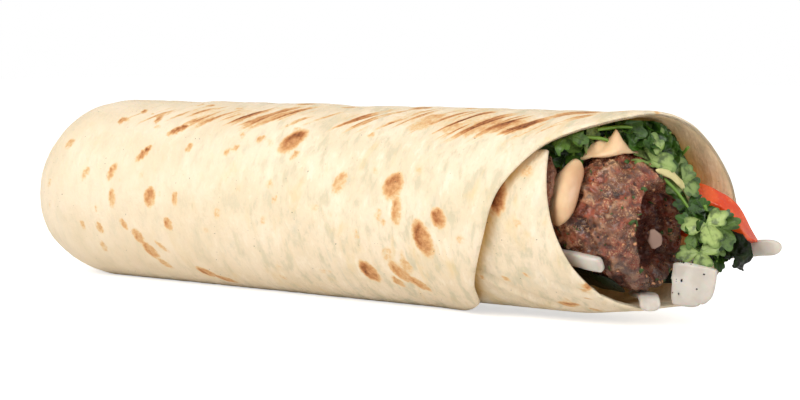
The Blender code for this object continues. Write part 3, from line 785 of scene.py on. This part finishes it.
LOOKS = {
    "kebab": meat_look("kebab", (136, 78, 44), (172, 78, 40), (250, 198, 146)),
    "kebab_back": meat_look("kebab_back", (132, 80, 54), (156, 98, 68), (214, 172, 138)),
    "sauce": sauce_look(),
    "drip": plain_look("drip", (228, 214, 150), 0.35),
    "herbs": leaf_look("herbs", (16, 42, 6), (58, 96, 18), (172, 192, 112)),
    "leaf": leaf_look("leaf", (14, 16, 3), (22, 40, 6), (56, 52, 18), 0.2),
    # The herbs' cores are painted near-black green, for the shade inside the heaps.
    "herb_shade_core": plain_look("herb_shade_core", (14, 30, 8), 0.8),
    "tomato": tomato_look(),
    "onion": onion_look(),
    "onion_wet": plain_look("onion_wet", (196, 158, 138), 0.3),
    "pepper": plain_look("pepper", (36, 28, 22), 0.7),
    "stem": plain_look("stem", (112, 150, 52), 0.4),
    "fat": plain_look("fat", (206, 146, 104), 0.25),
    "char": plain_look("char", (34, 20, 14), 0.45),
    "fleck_herb": plain_look("fleck_herb", (64, 90, 34), 0.5),
}

# ------------------------------------------------------------------ kebab

HOLLOW_DEPTH = 20.0
HOLLOW_RADIUS = 11.8
HOLLOW_FLOOR = 4.0
HOLLOW_SHIFT = (0.0, 2.0, -0.3)
HOLLOW_SET_BACK = 4.5


def make_kebab():
    sides = 190
    x = places_along(FILL_BACK, MEAT_END + 0.4, 2.0, 0.55)[:, None]
    angle = -np.arange(sides)[None, :] * 360.0 / sides
    share = np.where(x < 0.0, end_share(x, FILL_BACK, MEAT_END, 14.0), 1.0)
    share = share * (1.0 - 0.13 * ramp(x, MEAT_END - 5.0, MEAT_END + 0.4) ** 2)
    x = x + 0.0 * angle
    outside = meat_middle(x) + direction(angle) * (meat_radius(x, angle) * share)[..., None]
    outside[..., 0] += ramp(x, MEAT_END - 8.0, MEAT_END) * 1.5 * uneven(direction(angle) * 15.0, 8.0, 41)
    before = outside
    outside = roughened(outside, ((7.0, 1.1, 42), (3.4, 1.35, 43), (1.7, 0.85, 44), (1.0, 0.45, 48)))
    middle = meat_middle(x)
    pushed = np.linalg.norm(outside - middle, axis=-1) - np.linalg.norm(before - middle, axis=-1)
    # The ragged hollow, wider on the near side, and then its uneven floor.
    deep = np.linspace(0.0, 1.0, 46)[1:, None]
    centre = meat_middle(np.array(MEAT_END)) + HOLLOW_SHIFT
    rim = np.linalg.norm(outside[-1] - centre, axis=-1)[None, :]
    ragged = 1.0 + 0.22 * uneven(direction(angle) * 12.0 + stack(9.0 * deep, 0, 0), 8.0, 45)
    target = HOLLOW_RADIUS * ragged + (HOLLOW_FLOOR - HOLLOW_RADIUS) * deep**1.6
    lip = np.clip(deep * 7.0, 0.0, 1.0)
    radius = rim * (1 - lip) + target * lip
    start = outside[-1:, :, 0]
    inward = (start - MEAT_END + 0.9 * np.sin(np.pi * lip)) * (1 - deep) + MEAT_END - HOLLOW_DEPTH * deep**1.15
    inside = centre + direction(angle) * radius[..., None]
    near = np.clip(-direction(angle)[..., 1], 0.0, 1.0)
    inside[..., 0] = inward - HOLLOW_SET_BACK * near * lip * (1.0 - deep)
    lumps = 1.5 * lip * uneven(inside, 4.5, 46) + 0.8 * uneven(inside, 1.9, 47) + 0.4 * uneven(inside, 1.0, 49)
    inside = inside + lumps[..., None] * (centre - inside) / np.maximum(radius, 1.0)[..., None]
    rings = np.concatenate([outside, inside])
    raised = np.concatenate([pushed, lumps])
    depth = np.concatenate([0.0 * x, np.clip(deep * 2.4 - 0.1, 0.0, 1.0) + 0.0 * angle])
    # Painted shade: how low each point is, for darkening the kebab's bottom.
    low = 1.0 - ramp(rings[..., 2], 11.0, 31.0)
    rings[..., 0] = np.minimum(rings[..., 0], MEAT_END + 1.6)
    return rings, lofted("kebab", rings, LOOKS["kebab"], ["meat_front"], {"deep": depth, "raised": raised, "low": low})


kebab_rings, _ = make_kebab()

back_kebab = sector_rings(
    FILL_BACK, 93.0, lambda x: (-98.0, -36.0),
    lambda x, angle: meat_radius(x, angle) + SAUCE_THICKNESS + 2 * GAP,
    lambda x, angle: wall_distance(x, angle) - 0.4,
    60, 8.0, 0.6,
)
back_kebab = roughened(back_kebab, ((3.0, 0.45, 51), (1.4, 0.25, 52)))
lofted("kebab_back", back_kebab, LOOKS["kebab_back"], ["meat_back"])


# ------------------------------------------------------------------ sauces


def make_sauces():
    def side_angles(x):
        half = 12.0 + 19.0 * ramp(x, 84.0, 95.0)
        return -63.0 - half, -63.0 + half

    rings = sector_rings(
        FILL_BACK + 4.0, 101.8, side_angles,
        lambda x, angle: meat_radius(x, angle) + 0.2,
        lambda x, angle: meat_radius(x, angle) + 1.0 + SAUCE_THICKNESS + 1.6 * ramp(x, 92.0, 96.0),
        64, 8.0, 0.6, 0.85,
    )
    rings = roughened(rings, ((8.0, 0.35, 61),))
    # Painted shade: the side sauce turns browner towards its front, where it runs under the kebab.
    meat_shade_share = ramp(rings[..., 0], 96.5, 102.0)
    lofted("sauce_side", rings, LOOKS["sauce"], ["sauce_side"], {"meat_shade": meat_shade_share})

    def peak(x, angle):
        away = np.hypot((x - 104.6 + 0.15 * (angle + 8.0)) / 2.4, (angle + 8.0) / 8.0)
        shelf = 1.8 * ramp(x, 93.5, 95.5) * (1.0 - ramp(x, 100.0, 102.5)) * ramp(angle, -26.0, -18.0)
        return 5.4 * np.exp(-1.1 * away**1.3) + shelf

    rings = sector_rings(
        FILL_BACK + 4.0, 109.0, lambda x: (-34.0 + 6.0 * ramp(x, 88.0, 96.0), 12.0 + 36.0 * ramp(x, 70.0, 100.0)),
        lambda x, angle: meat_radius(x, angle) + 0.1,
        lambda x, angle: meat_radius(x, angle) + GAP + SAUCE_THICKNESS + peak(x, angle),
        110, 7.0, 0.6,
    )
    rings = roughened(rings, ((7.0, 0.4, 62), (2.6, 0.2, 63)))
    lofted("sauce_top", rings, LOOKS["sauce"], ["sauce_top"], {"meat_shade": 0.0 * rings[..., 0]})


make_sauces()


def make_drip():
    """A thin pale run of sauce along the kebab's upper far edge."""
    path = ((0.0, 116.4, -4.5, 45.2), (0.35, 118.2, 3.0, 43.0), (0.7, 119.6, 9.0, 38.2), (1.0, 120.2, 11.0, 33.8))
    rings = path_rings(path, lambda s: 2.4 - 0.9 * np.cos(s * 7.0), 1.2, (-0.3, 0.2, 1.0), 20, 60, 0.9, 0.2)
    rings = roughened(rings, ((2.5, 0.4, 65),))
    lofted("sauce_drip", rings, LOOKS["drip"], [])


make_drip()

# ------------------------------------------------------------------ herbs


def leaf(size, seed, pointed=0.0, cup=0.25, curl=0.2):
    """A lobed leaf on the XY plane with its stalk's end at the origin, growing along +Y.

    Returns its points, its faces and its values for the leaf looks."""
    rng = np.random.default_rng(seed)
    rays, hoops = 61, 7
    turn = np.linspace(-2.45, 2.45, rays)
    shifted = turn * (1.0 + 0.05 * np.sin(turn * 1.3 + rng.uniform(0, 6)))
    lobes = np.abs(np.cos(1.8 * shifted)) ** (0.75 + 0.5 * pointed)
    teeth = np.abs(np.cos(5.4 * shifted)) ** 0.7
    reach = 0.36 + 0.44 * lobes + 0.17 * teeth * (0.35 + lobes)
    reach *= 1.0 + 0.07 * np.sin(turn * 2.0 + rng.uniform(0, 6))
    share = np.linspace(0.0, 1.0, hoops)[1:, None]
    along = share * reach * np.cos(turn)
    across = share * reach * np.sin(turn)
    lift = cup * share**2 * (0.35 + 0.65 * (1.0 - lobes)) - 0.10 * share * lobes
    lift = lift + curl * share**2 * np.sin(turn * rng.integers(2, 4) + rng.uniform(0, 6)) * 0.5
    lift = lift - 0.5 * curl * np.clip(along, 0, 2) ** 2
    flat = stack(across, along, lift)
    flat[..., 2] += 0.07 * uneven(flat * (1, 1, 0) + (0, 0, seed), 0.35, 17) * share
    points = np.concatenate([[(0.0, 0.0, 0.0)], flat.reshape(-1, 3)])
    points[:, 1] += 0.22
    tone = np.full(len(points), rng.beta(1.4, 1.6))
    main = np.clip(1.0 - np.abs(np.sin(1.8 * shifted)) * 7.0, 0.0, 1.0)
    side = np.clip(1.0 - np.abs(np.sin(5.4 * shifted)) * 4.0, 0.0, 1.0) * 0.5
    vein = (np.maximum(main, side)[None, :] * (1.0 - 0.8 * share)).ravel()
    vein = np.concatenate([[1.0], vein])
    rim = np.concatenate([[0.0], (share + 0.0 * turn).ravel()])
    quads = [[1 + i for i in q] for q in grid_quads(hoops - 1, rays)]
    fans = [(0, 2 + i, 1 + i) for i in range(rays - 1)]
    return points * size, quads, fans, {"tone": tone, "vein": vein, "rim": rim}


def framed(points, origin, up, face):
    """Points of a leaf centred on origin, growing along up and facing face."""
    face = np.array(face, float)
    face /= np.linalg.norm(face)
    up = np.array(up, float) - face * np.dot(up, face)
    up /= np.linalg.norm(up)
    side = np.cross(up, face)
    return np.array(origin) + (points - points.mean(0)) @ np.stack([side, up, face])


class Heap:
    """Many small meshes gathered into one piece."""

    def __init__(self):
        self.points, self.quads, self.fans, self.values, self.count = [], [], [], {}, 0

    def add(self, points, quads=(), fans=(), values=None):
        self.points.append(points)
        self.quads += [[i + self.count for i in q] for q in quads]
        self.fans += [[i + self.count for i in f] for f in fans]
        for key, numbers in (values or {}).items():
            self.values.setdefault(key, []).append(numbers)
        self.count += len(points)

    def made(self, name, material, nodes, slot, smooth=True):
        values = {k: np.concatenate(v) for k, v in self.values.items()}
        return piece(name, np.concatenate(self.points), self.quads, material, nodes, values, self.fans, smooth)


VIEW_WAY = np.array((0.57, -0.80, 0.15))


# Leaves placed one by one: stalk end, way it grows, size, tone.
# A low tone is partly painted shade, a high one partly a painted sheen.
TOP_LEAVES = (
    ((94.0, -15.5, 55.0), (0.6, 0.5, -0.3), 6.5, 0.55), ((97.0, -10.0, 53.0), (0.4, 0.5, -1.0), 5.5, 0.75),
    ((112.0, 0.5, 52.5), (0.2, 0.2, -1.0), 8.0, 0.9), ((114.5, -1.0, 47.5), (1.0, 0.3, -0.25), 8.0, 0.85),
    ((116.0, 8.5, 45.5), (0.7, 0.6, -0.3), 9.5, 0.8), ((116.0, 14.0, 44.0), (0.5, 0.6, -0.7), 9.0, 0.9),
    ((115.0, 12.0, 50.0), (0.4, 0.8, -0.5), 8.5, 0.5), ((118.5, 9.5, 41.0), (0.3, 0.3, -1.0), 9.0, 0.65),
    ((118.5, 13.0, 38.0), (0.1, 0.4, -1.0), 8.0, 0.35), ((104.0, -2.0, 56.5), (0.6, 0.6, -0.2), 9.0, 0.3),
    ((110.0, 4.5, 56.5), (0.6, 0.8, -0.6), 9.5, 0.4),
)


def tucked(points):
    """A leaf moved back until none of it is past the heap's front, which falls back towards the bread."""
    apart = points - meat_middle(points[:, 0])
    angle = np.degrees(np.arctan2(apart[:, 1], apart[:, 2]))
    distance = np.linalg.norm(apart, axis=-1)
    inset = wall_distance(points[:, 0], angle) - distance
    limit = 112.5 + 3.0 * ramp(angle, 50.0, 66.0) + 0.75 * np.clip(inset, 0.0, 9.0)
    points[:, 0] -= max((points[:, 0] - limit).max(), 0.0)
    return settle(points, 0.5, 30.0)


def make_top_herbs():
    rng = np.random.default_rng(71)
    core = sector_rings(
        FILL_BACK, 111.0, lambda x: (-32.0 + 40.0 * ramp(x, 88.0, 108.0), 49.0),
        lambda x, angle: meat_radius(x, angle) + 4.5,
        lambda x, angle: wall_distance(x, angle) - 2.2,
        48, 9.0, 1.2,
    )
    # Painted shade: the heap's inside is a near-black green core among the leaves.
    lofted("herb_shade_core", roughened(core, ((4.0, 0.9, 72),)), LOOKS["herb_shade_core"], ["herbs_top"])
    heap = Heap()
    for i in range(150):
        x = rng.uniform(86.0, 114.0) if i % 4 else rng.uniform(107.0, 116.0)
        start = -38.0 + 46.0 * ramp(x, 88.0, 108.0)
        angle = rng.uniform(start, 58.0)
        low = meat_radius(np.array(x), np.array(angle)) + 4.5
        high = wall_distance(np.array(x), np.array(angle)) - 1.2
        distance = low + (high - low) * rng.uniform(0.0, 1.0) ** 0.7
        origin = meat_middle(np.array(x)) + direction(angle) * distance
        face = VIEW_WAY * 1.3 + rng.normal(size=3) * 0.55 + direction(angle) * 0.5
        up = direction(angle + 90.0) * rng.normal() + rng.normal(size=3) * 0.5
        points, quads, fans, values = leaf(rng.uniform(5.5, 9.0), 1000 + i, rng.uniform(0, 1))
        # A lower tone for the scattered leaves: darker green, partly painted shade inside the heap.
        values["tone"] *= 0.75
        heap.add(tucked(framed(points, origin, up, face)), quads, fans, values)
    for i, (origin, up, size, tone) in enumerate(TOP_LEAVES):
        face = VIEW_WAY + rng.normal(size=3) * 0.25 + (0.0, 0.0, 0.25)
        points, quads, fans, values = leaf(size, 1500 + i, 0.2, 0.15, 0.15)
        values["tone"] = values["tone"] * 0.0 + tone
        heap.add(tucked(framed(points, origin, up, face)), quads, fans, values)
    heap.made("herb_leaves", LOOKS["herbs"], ["herbs_top"], "herbs")


make_top_herbs()


# Leaves placed one by one: stalk end, way it grows, size, tone; a low tone is partly painted shade, a high one partly
# a painted sheen.
FRONT_LEAVES = (
    ((130.2, 0.4, 29.6), (0.4, 0.1, -1.0), 7.2, 1.0), ((132.0, 6.4, 28.0), (0.25, 0.15, -1.0), 6.8, 0.6),
    ((128.4, 0.0, 21.4), (0.35, 0.0, -1.0), 6.4, 0.85), ((125.5, 0.8, 30.0), (-0.2, 0.0, -1.0), 4.8, 0.5),
    ((129.5, 4.6, 24.4), (0.8, 0.1, -0.5), 5.6, 0.7), ((129.0, 10.6, 22.6), (0.1, 0.2, -1.0), 5.4, 0.25),
    ((126.5, 6.0, 34.0), (-0.1, 0.3, 0.8), 4.6, 0.35),
    ((129.5, 9.5, 19.0), (0.1, 0.0, -1.0), 4.0, 0.35), ((126.5, 0.2, 26.6), (-0.4, 0.0, -0.8), 4.4, 0.6),
    ((119.0, 9.5, 38.5), (0.3, 0.3, -1.0), 5.2, 0.55), ((120.5, 11.0, 33.5), (0.0, 0.2, -1.0), 5.0, 0.35),
    ((119.5, 7.5, 41.0), (0.5, 0.3, -0.6), 6.0, 0.75), ((121.0, 7.5, 34.5), (0.2, 0.2, -1.0), 4.6, 0.45),
)


def make_front_herbs():
    """The bunch that comes out below on the far side, and its leaves over the mouth's edge."""
    path = (
        (0.0, -60.0, 14.0, 13.0), (0.45, 60.0, 14.0, 13.0), (0.76, 113.5, 12.8, 12.8),
        (0.88, 124.0, 9.6, 17.2), (1.0, 129.5, 5.5, 26.5), (1.06, 131.0, 4.5, 29.0),
    )
    rings = path_rings(path, lambda s: 4.0 + 3.0 * ramp(s, 0.9, 1.0), 4.0, (0, 1, 0.2), 24, 60, 1.0, 0.05)
    # Painted shade: the bunch's inside is a near-black green core among the leaves.
    lofted("herb_front_shade_core", roughened(rings, ((3.0, 0.5, 81),)), LOOKS["herb_shade_core"], ["herbs_front"])
    rng = np.random.default_rng(82)
    heap = Heap()
    for i in range(18):
        middle = np.array((127.6, 7.0, 26.6)) + rng.normal(size=3) * (1.2, 2.2, 2.8)
        face = VIEW_WAY + rng.normal(size=3) * 0.7
        up = rng.normal(size=3) + np.array((0.3, 0.0, -0.6))
        points, quads, fans, values = leaf(rng.uniform(3.6, 5.2), 2000 + i, 0.3)
        # A lower tone for the bunch's own leaves: darker green, partly painted shade under the listed leaves.
        values["tone"] *= 0.45
        heap.add(framed(points, middle, up, face), quads, fans, values)
    for i, (origin, up, size, tone) in enumerate(FRONT_LEAVES):
        face = VIEW_WAY + rng.normal(size=3) * 0.22 + (0.0, 0.0, 0.3)
        points, quads, fans, values = leaf(size, 2500 + i, 0.1, 0.15, 0.15)
        values["tone"] = values["tone"] * 0.0 + tone
        heap.add(framed(points, origin, up, face), quads, fans, values)
    heap.made("herb_front_leaves", LOOKS["herbs"], ["herbs_front"], "herbs")


make_front_herbs()


def tube(heap, path, radius, sides=7, steps=22):
    """A thin stalk along a path of (share, x, y, z)."""
    middle = through(path, np.linspace(0.0, 1.0, steps))
    ahead = np.gradient(middle, axis=0)
    ahead /= np.linalg.norm(ahead, axis=1)[:, None]
    side = np.cross(ahead, (0.3, 0.2, 0.93))
    side /= np.linalg.norm(side, axis=1)[:, None]
    face = np.cross(side, ahead)
    turn = np.arange(sides) * 2 * np.pi / sides
    thin = radius * (1.0 - 0.35 * np.linspace(0.0, 1.0, steps) ** 2)[:, None, None]
    rings = middle[:, None] + (side[:, None] * np.cos(turn)[:, None] + face[:, None] * np.sin(turn)[:, None]) * thin
    fans = [tuple(range(sides))[::-1], tuple((steps - 1) * sides + i for i in range(sides))]
    heap.add(rings.reshape(-1, 3), grid_quads(steps, sides, wrap=True), fans)


STALKS = (
    ((0.0, 116.5, 0.5, 42.5), (0.5, 119.5, 3.2, 38.4), (1.0, 123.5, 4.0, 33.0)),
    ((0.0, 128.5, 9.0, 27.0), (0.5, 129.5, 9.5, 22.0), (1.0, 129.0, 9.0, 16.5)),
    ((0.0, 127.0, 5.5, 35.0), (0.5, 128.5, 6.0, 30.0), (1.0, 129.5, 7.0, 24.0)),
    ((0.0, 96.0, -13.0, 54.5), (0.5, 102.0, -8.0, 53.6), (1.0, 104.0, -5.5, 51.0)),
    ((0.0, 100.0, -9.0, 56.5), (0.5, 106.0, -2.0, 57.0), (1.0, 112.0, 4.0, 55.0)),
    ((0.0, 106.0, -1.0, 51.0), (0.5, 111.0, 2.0, 54.0), (1.0, 113.0, 6.0, 56.0)),
)


def make_stalks():
    rng = np.random.default_rng(85)
    heap = Heap()
    for path in STALKS:
        tube(heap, path, 0.55)
    for _ in range(16):
        x = rng.uniform(92.0, 113.0)
        angle = rng.uniform(-30.0 + 40.0 * float(ramp(x, 90.0, 108.0)), 55.0)
        low = float(meat_radius(np.array(x), np.array(angle))) + 5.0
        high = float(wall_distance(np.array(x), np.array(angle))) - 1.5
        start = meat_middle(np.array(x)) + direction(angle) * rng.uniform(low, high)
        way = rng.normal(size=3) * 4.0
        bend = rng.normal(size=3) * 1.2
        points = [(t, *(start + way * (t - 0.5) + bend * (t - 0.5) ** 2)) for t in (0.0, 0.5, 1.0)]
        tube(heap, points, rng.uniform(0.3, 0.5), steps=12)
    heap.points = [np.where(p[:, :1] < 116.0, settle(p, 0.6, 30.0), p) for p in heap.points]
    heap.made("herb_stalks", LOOKS["stem"], ["herbs_top", "herbs_front"], "herbs")


make_stalks()


def fleck(rng, size, flat=0.35):
    """A small irregular chip, as points and faces."""
    turn = np.arange(7) * 2 * np.pi / 7 + rng.uniform(0, 6)
    reach = size * rng.uniform(0.6, 1.2, 7)
    ring = stack(reach * np.cos(turn), reach * np.sin(turn) * rng.uniform(0.4, 1.0), rng.normal(size=7) * size * 0.2)
    thick = np.array((0.0, 0.0, size * flat))
    points = np.concatenate([ring - thick, ring + thick, [-thick * 1.4, thick * 1.4]])
    quads = [(i, (i + 1) % 7, 7 + (i + 1) % 7, 7 + i) for i in range(7)]
    fans = [(14, (i + 1) % 7, i) for i in range(7)] + [(15, 7 + i, 7 + (i + 1) % 7) for i in range(7)]
    return points, quads, fans


def scatter(name, count, grid, keep, sizes, look, slot, seed, flat=0.35, sunk=0.2):
    """Flecks lying on the surface that grid's points make, where keep(points) is true."""
    rng = np.random.default_rng(seed)
    normal = normals_of(grid)
    if ((grid - grid.mean(1, keepdims=True)) * normal).sum() < 0:
        normal = -normal
    places = np.argwhere(keep(grid))
    heap = Heap()
    for r, c in places[rng.integers(0, len(places), count)]:
        size = rng.uniform(*sizes)
        points, quads, fans = fleck(rng, size, flat)
        origin = grid[r, c] + normal[r, c] * size * (flat - sunk)
        face = normal[r, c] + rng.normal(size=3) * 0.25
        heap.add(framed(points, origin, rng.normal(size=3), face), quads, fans)
    return heap.made(name, LOOKS[look], [], slot)


def make_kebab_flecks():
    """Chopped herbs, bits of fat and bits of char on the kebab's visible end."""
    def seen(points):
        return (points[..., 0] > 90.0) & (points[..., 1] < 12.0)

    scatter("kebab_herbs", 130, kebab_rings, seen, (0.4, 1.15), "fleck_herb", "herbs", 86, 0.12)
    scatter("kebab_fat", 90, kebab_rings, seen, (0.25, 0.6), "fat", "meat", 87, 0.4)
    scatter("kebab_char", 60, kebab_rings, seen, (0.2, 0.5), "char", "meat", 88, 0.2)


make_kebab_flecks()


def make_leaves():
    rings = sector_rings(
        -60.0, 111.0, lambda x: (-166.0, -134.0),
        lambda x, angle: meat_radius(x, angle) + 0.8,
        lambda x, angle: meat_radius(x, angle) + 1.8,
        60, 6.0, 0.8,
    )
    rings = roughened(rings, ((5.0, 0.5, 91),))
    shape = rings.shape[:2]
    # Painted shade: the lower leaf keeps a low tone, darker than its own green for the shade under the kebab.
    values = {"tone": np.full(shape, 0.15), "vein": np.zeros(shape), "rim": np.zeros(shape)}
    lofted("leaf_lower", rings, LOOKS["leaf"], ["leaf_lower"], values)
    curl = (
        (0.0, 127.5, 11.0, 18.0), (0.25, 129.5, 11.8, 21.6), (0.5, 132.8, 12.4, 23.2), (0.72, 136.0, 12.0, 20.8),
        (1.0, 134.6, 11.0, 16.4),
    )
    rings = path_rings(curl, lambda s: 8.0 - 1.6 * np.cos(s * 9.0), 1.2, (0.35, 0.55, 0.75), 44, 90, 0.8, 0.06)
    rings = roughened(rings, ((2.6, 0.9, 93), (1.3, 0.5, 94)))
    shape = rings.shape[:2]
    tone = np.clip(0.30 + 0.6 * uneven(rings, 2.4, 98), 0.0, 1.0)
    values = {"tone": tone, "vein": np.zeros(shape), "rim": np.zeros(shape)}
    lofted("leaf_wilted", rings, LOOKS["leaf"], ["leaf_wilted"], values)


make_leaves()

# ------------------------------------------------------------------ tomato and onion


def tomato_edges(x):
    """The wedge's two edges about the kebab's middle; its upper corner is just out of the mouth."""
    fall = 9.0 * ramp(x, 119.0, 129.0) + 30.0 * ramp(x, 127.0, 138.0)
    return 69.0 - 10.0 * ramp(x, 110.0, 119.0) + fall, 101.0


def make_tomato():
    rings = sector_rings(
        78.0, 137.5, tomato_edges,
        lambda x, angle: meat_radius(x, angle) + GAP + 0.5,
        lambda x, angle: np.minimum(wall_distance(x, angle), 25.2),
        80, 3.0, 0.5, 0.28,
    )
    lofted("tomato", roughened(rings, ((6.0, 0.25, 95),)), LOOKS["tomato"], ["tomato"])


make_tomato()


def near_face(points):
    """Which points of a slice's rings are on the side towards -Y."""
    return points[..., 1] < points[..., 1].mean(1, keepdims=True) - 0.6


def make_onions():
    left = sector_rings(
        80.0, 108.5, lambda x: (-127.5, -115.0),
        lambda x, angle: meat_radius(x, angle) + GAP,
        lambda x, angle: meat_radius(x, angle) + GAP + 2.4,
        40, 1.2, 0.6, 0.45,
    )
    lofted("onion_left", left, LOOKS["onion"], ["onion_left"])
    for name, path, widths, thickness, wide in ONION_SLICES:
        rings = path_rings(path, widths, thickness, wide, 40, 60)
        if name == "onion_big":
            scatter("pepper", 16, rings, near_face, (0.16, 0.42), "pepper", "herbs", 99, 0.3)
        look = LOOKS["onion_wet" if name == "onion_chip" else "onion"]
        lofted(name, roughened(rings, ((4.0, 0.15, 97),)), look, [name])


ONION_SLICES = (
    (
        "onion_narrow",
        (
            (0.0, 106.5, 4.0, 8.4), (0.3, 111.0, -1.0, 8.6), (0.6, 114.8, -5.5, 9.0),
            (0.85, 117.0, -8.6, 8.3), (1.0, 118.2, -10.1, 5.6),
        ),
        lambda share: 5.8 + 0.0 * share, 1.8, (0.8, 0.6, 0.0),
    ),
    (
        "onion_big",
        ((0.0, 125.7, -3.0, 6.6), (0.2, 125.9, -3.0, 9.1), (0.5, 127.7, -3.2, 12.8), (1.0, 128.5, -3.0, 19.0)),
        lambda share: 7.8 + 5.0 * ramp(share, 0.0, 0.55), 2.4, (1.0, 0.15, 0.0),
    ),
    (
        "onion_tip",
        ((0.0, 104.5, 20.0, 17.0), (0.5, 122.5, 22.0, 20.0), (1.0, 144.0, 21.0, 22.6)),
        lambda share: 5.4 - 1.2 * share**4, 2.4, (0.0, 0.0, 1.0),
    ),
    (
        "onion_chip",
        ((0.0, 112.8, 1.6, 21.8), (0.5, 113.2, 2.0, 24.6), (1.0, 112.4, 1.2, 27.6)),
        lambda share: 1.2 + 3.0 * ramp(share, 0.0, 0.35) - 2.6 * ramp(share, 0.5, 1.0), 1.0, (0.9, 0.5, 0.5),
    ),
)
make_onions()


# ------------------------------------------------------------------ floor, light and camera


def make_stage():
    """A plain white floor, a soft key light from the upper left, and a camera before the mouth's side."""
    look = Look("floor", roughness=0.9, Specular_IOR_Level=0.0)
    look.color((0.88, 0.88, 0.88, 1.0))
    look.shader.inputs["Emission Color"].default_value = (1.0, 1.0, 1.0, 1.0)
    seen = look.tree.nodes.new("ShaderNodeLightPath").outputs["Is Camera Ray"]
    look.put(look.shader.inputs["Emission Strength"], look.sum(seen, FLOOR_GLOW, "MULTIPLY"))
    bpy.ops.mesh.primitive_plane_add(size=6.0, location=(0.0, 0.0, 0.0))
    floor = bpy.context.object
    floor.name = "floor"
    floor.data.materials.append(look.material)
    world = bpy.data.worlds.new("air")
    world.use_nodes = True
    air = world.node_tree
    seen = air.nodes.new("ShaderNodeLightPath").outputs["Is Camera Ray"]
    strength = air.nodes.new("ShaderNodeMapRange")
    air.links.new(seen, strength.inputs["Value"])
    strength.inputs["To Min"].default_value = AIR_LIGHT
    strength.inputs["To Max"].default_value = 1.0
    air.nodes["Background"].inputs["Color"].default_value = (1.0, 1.0, 1.0, 1.0)
    air.links.new(strength.outputs["Result"], air.nodes["Background"].inputs["Strength"])
    bpy.context.scene.world = world
    target = Vector(TARGET) * MM
    for azimuth, height, size, power in LIGHTS:
        angle = math.radians(azimuth)
        lamp = bpy.data.lights.new("lamp", "AREA")
        lamp.size = size
        lamp.energy = power
        light = bpy.data.objects.new("lamp", lamp)
        light.location = target + Vector((math.sin(angle), -math.cos(angle), height)) * LIGHT_DISTANCE
        light.rotation_euler = (target - light.location).to_track_quat("-Z", "Y").to_euler()
        bpy.context.scene.collection.objects.link(light)
    camera = bpy.data.cameras.new("camera")
    camera.lens = 78.0
    camera.sensor_width = 36.0
    camera.clip_start = 0.01
    eye = bpy.data.objects.new("camera", camera)
    turn, tilt = math.radians(CAMERA_AZIMUTH), math.radians(CAMERA_ELEVATION)
    way = Vector((math.sin(turn) * math.cos(tilt), -math.cos(turn) * math.cos(tilt), math.sin(tilt)))
    eye.location = target + way * CAMERA_DISTANCE
    eye.rotation_euler = (-way).to_track_quat("-Z", "Y").to_euler()
    bpy.context.scene.collection.objects.link(eye)
    bpy.context.scene.camera = eye
    bpy.context.scene.view_settings.view_transform = "Standard"


TARGET = (24.5, 0.0, 31.7)
CAMERA_AZIMUTH = 35.0
CAMERA_ELEVATION = 5.0
CAMERA_DISTANCE = 0.55
LIGHT_DISTANCE = 0.6
AIR_LIGHT = 0.60
FLOOR_GLOW = 0.6
LIGHTS = ((-10.0, 0.66, 0.40, 2.5), (75.0, 0.5, 0.5, 1.0), (25.0, 0.75, 0.06, 0.36))

make_stage()
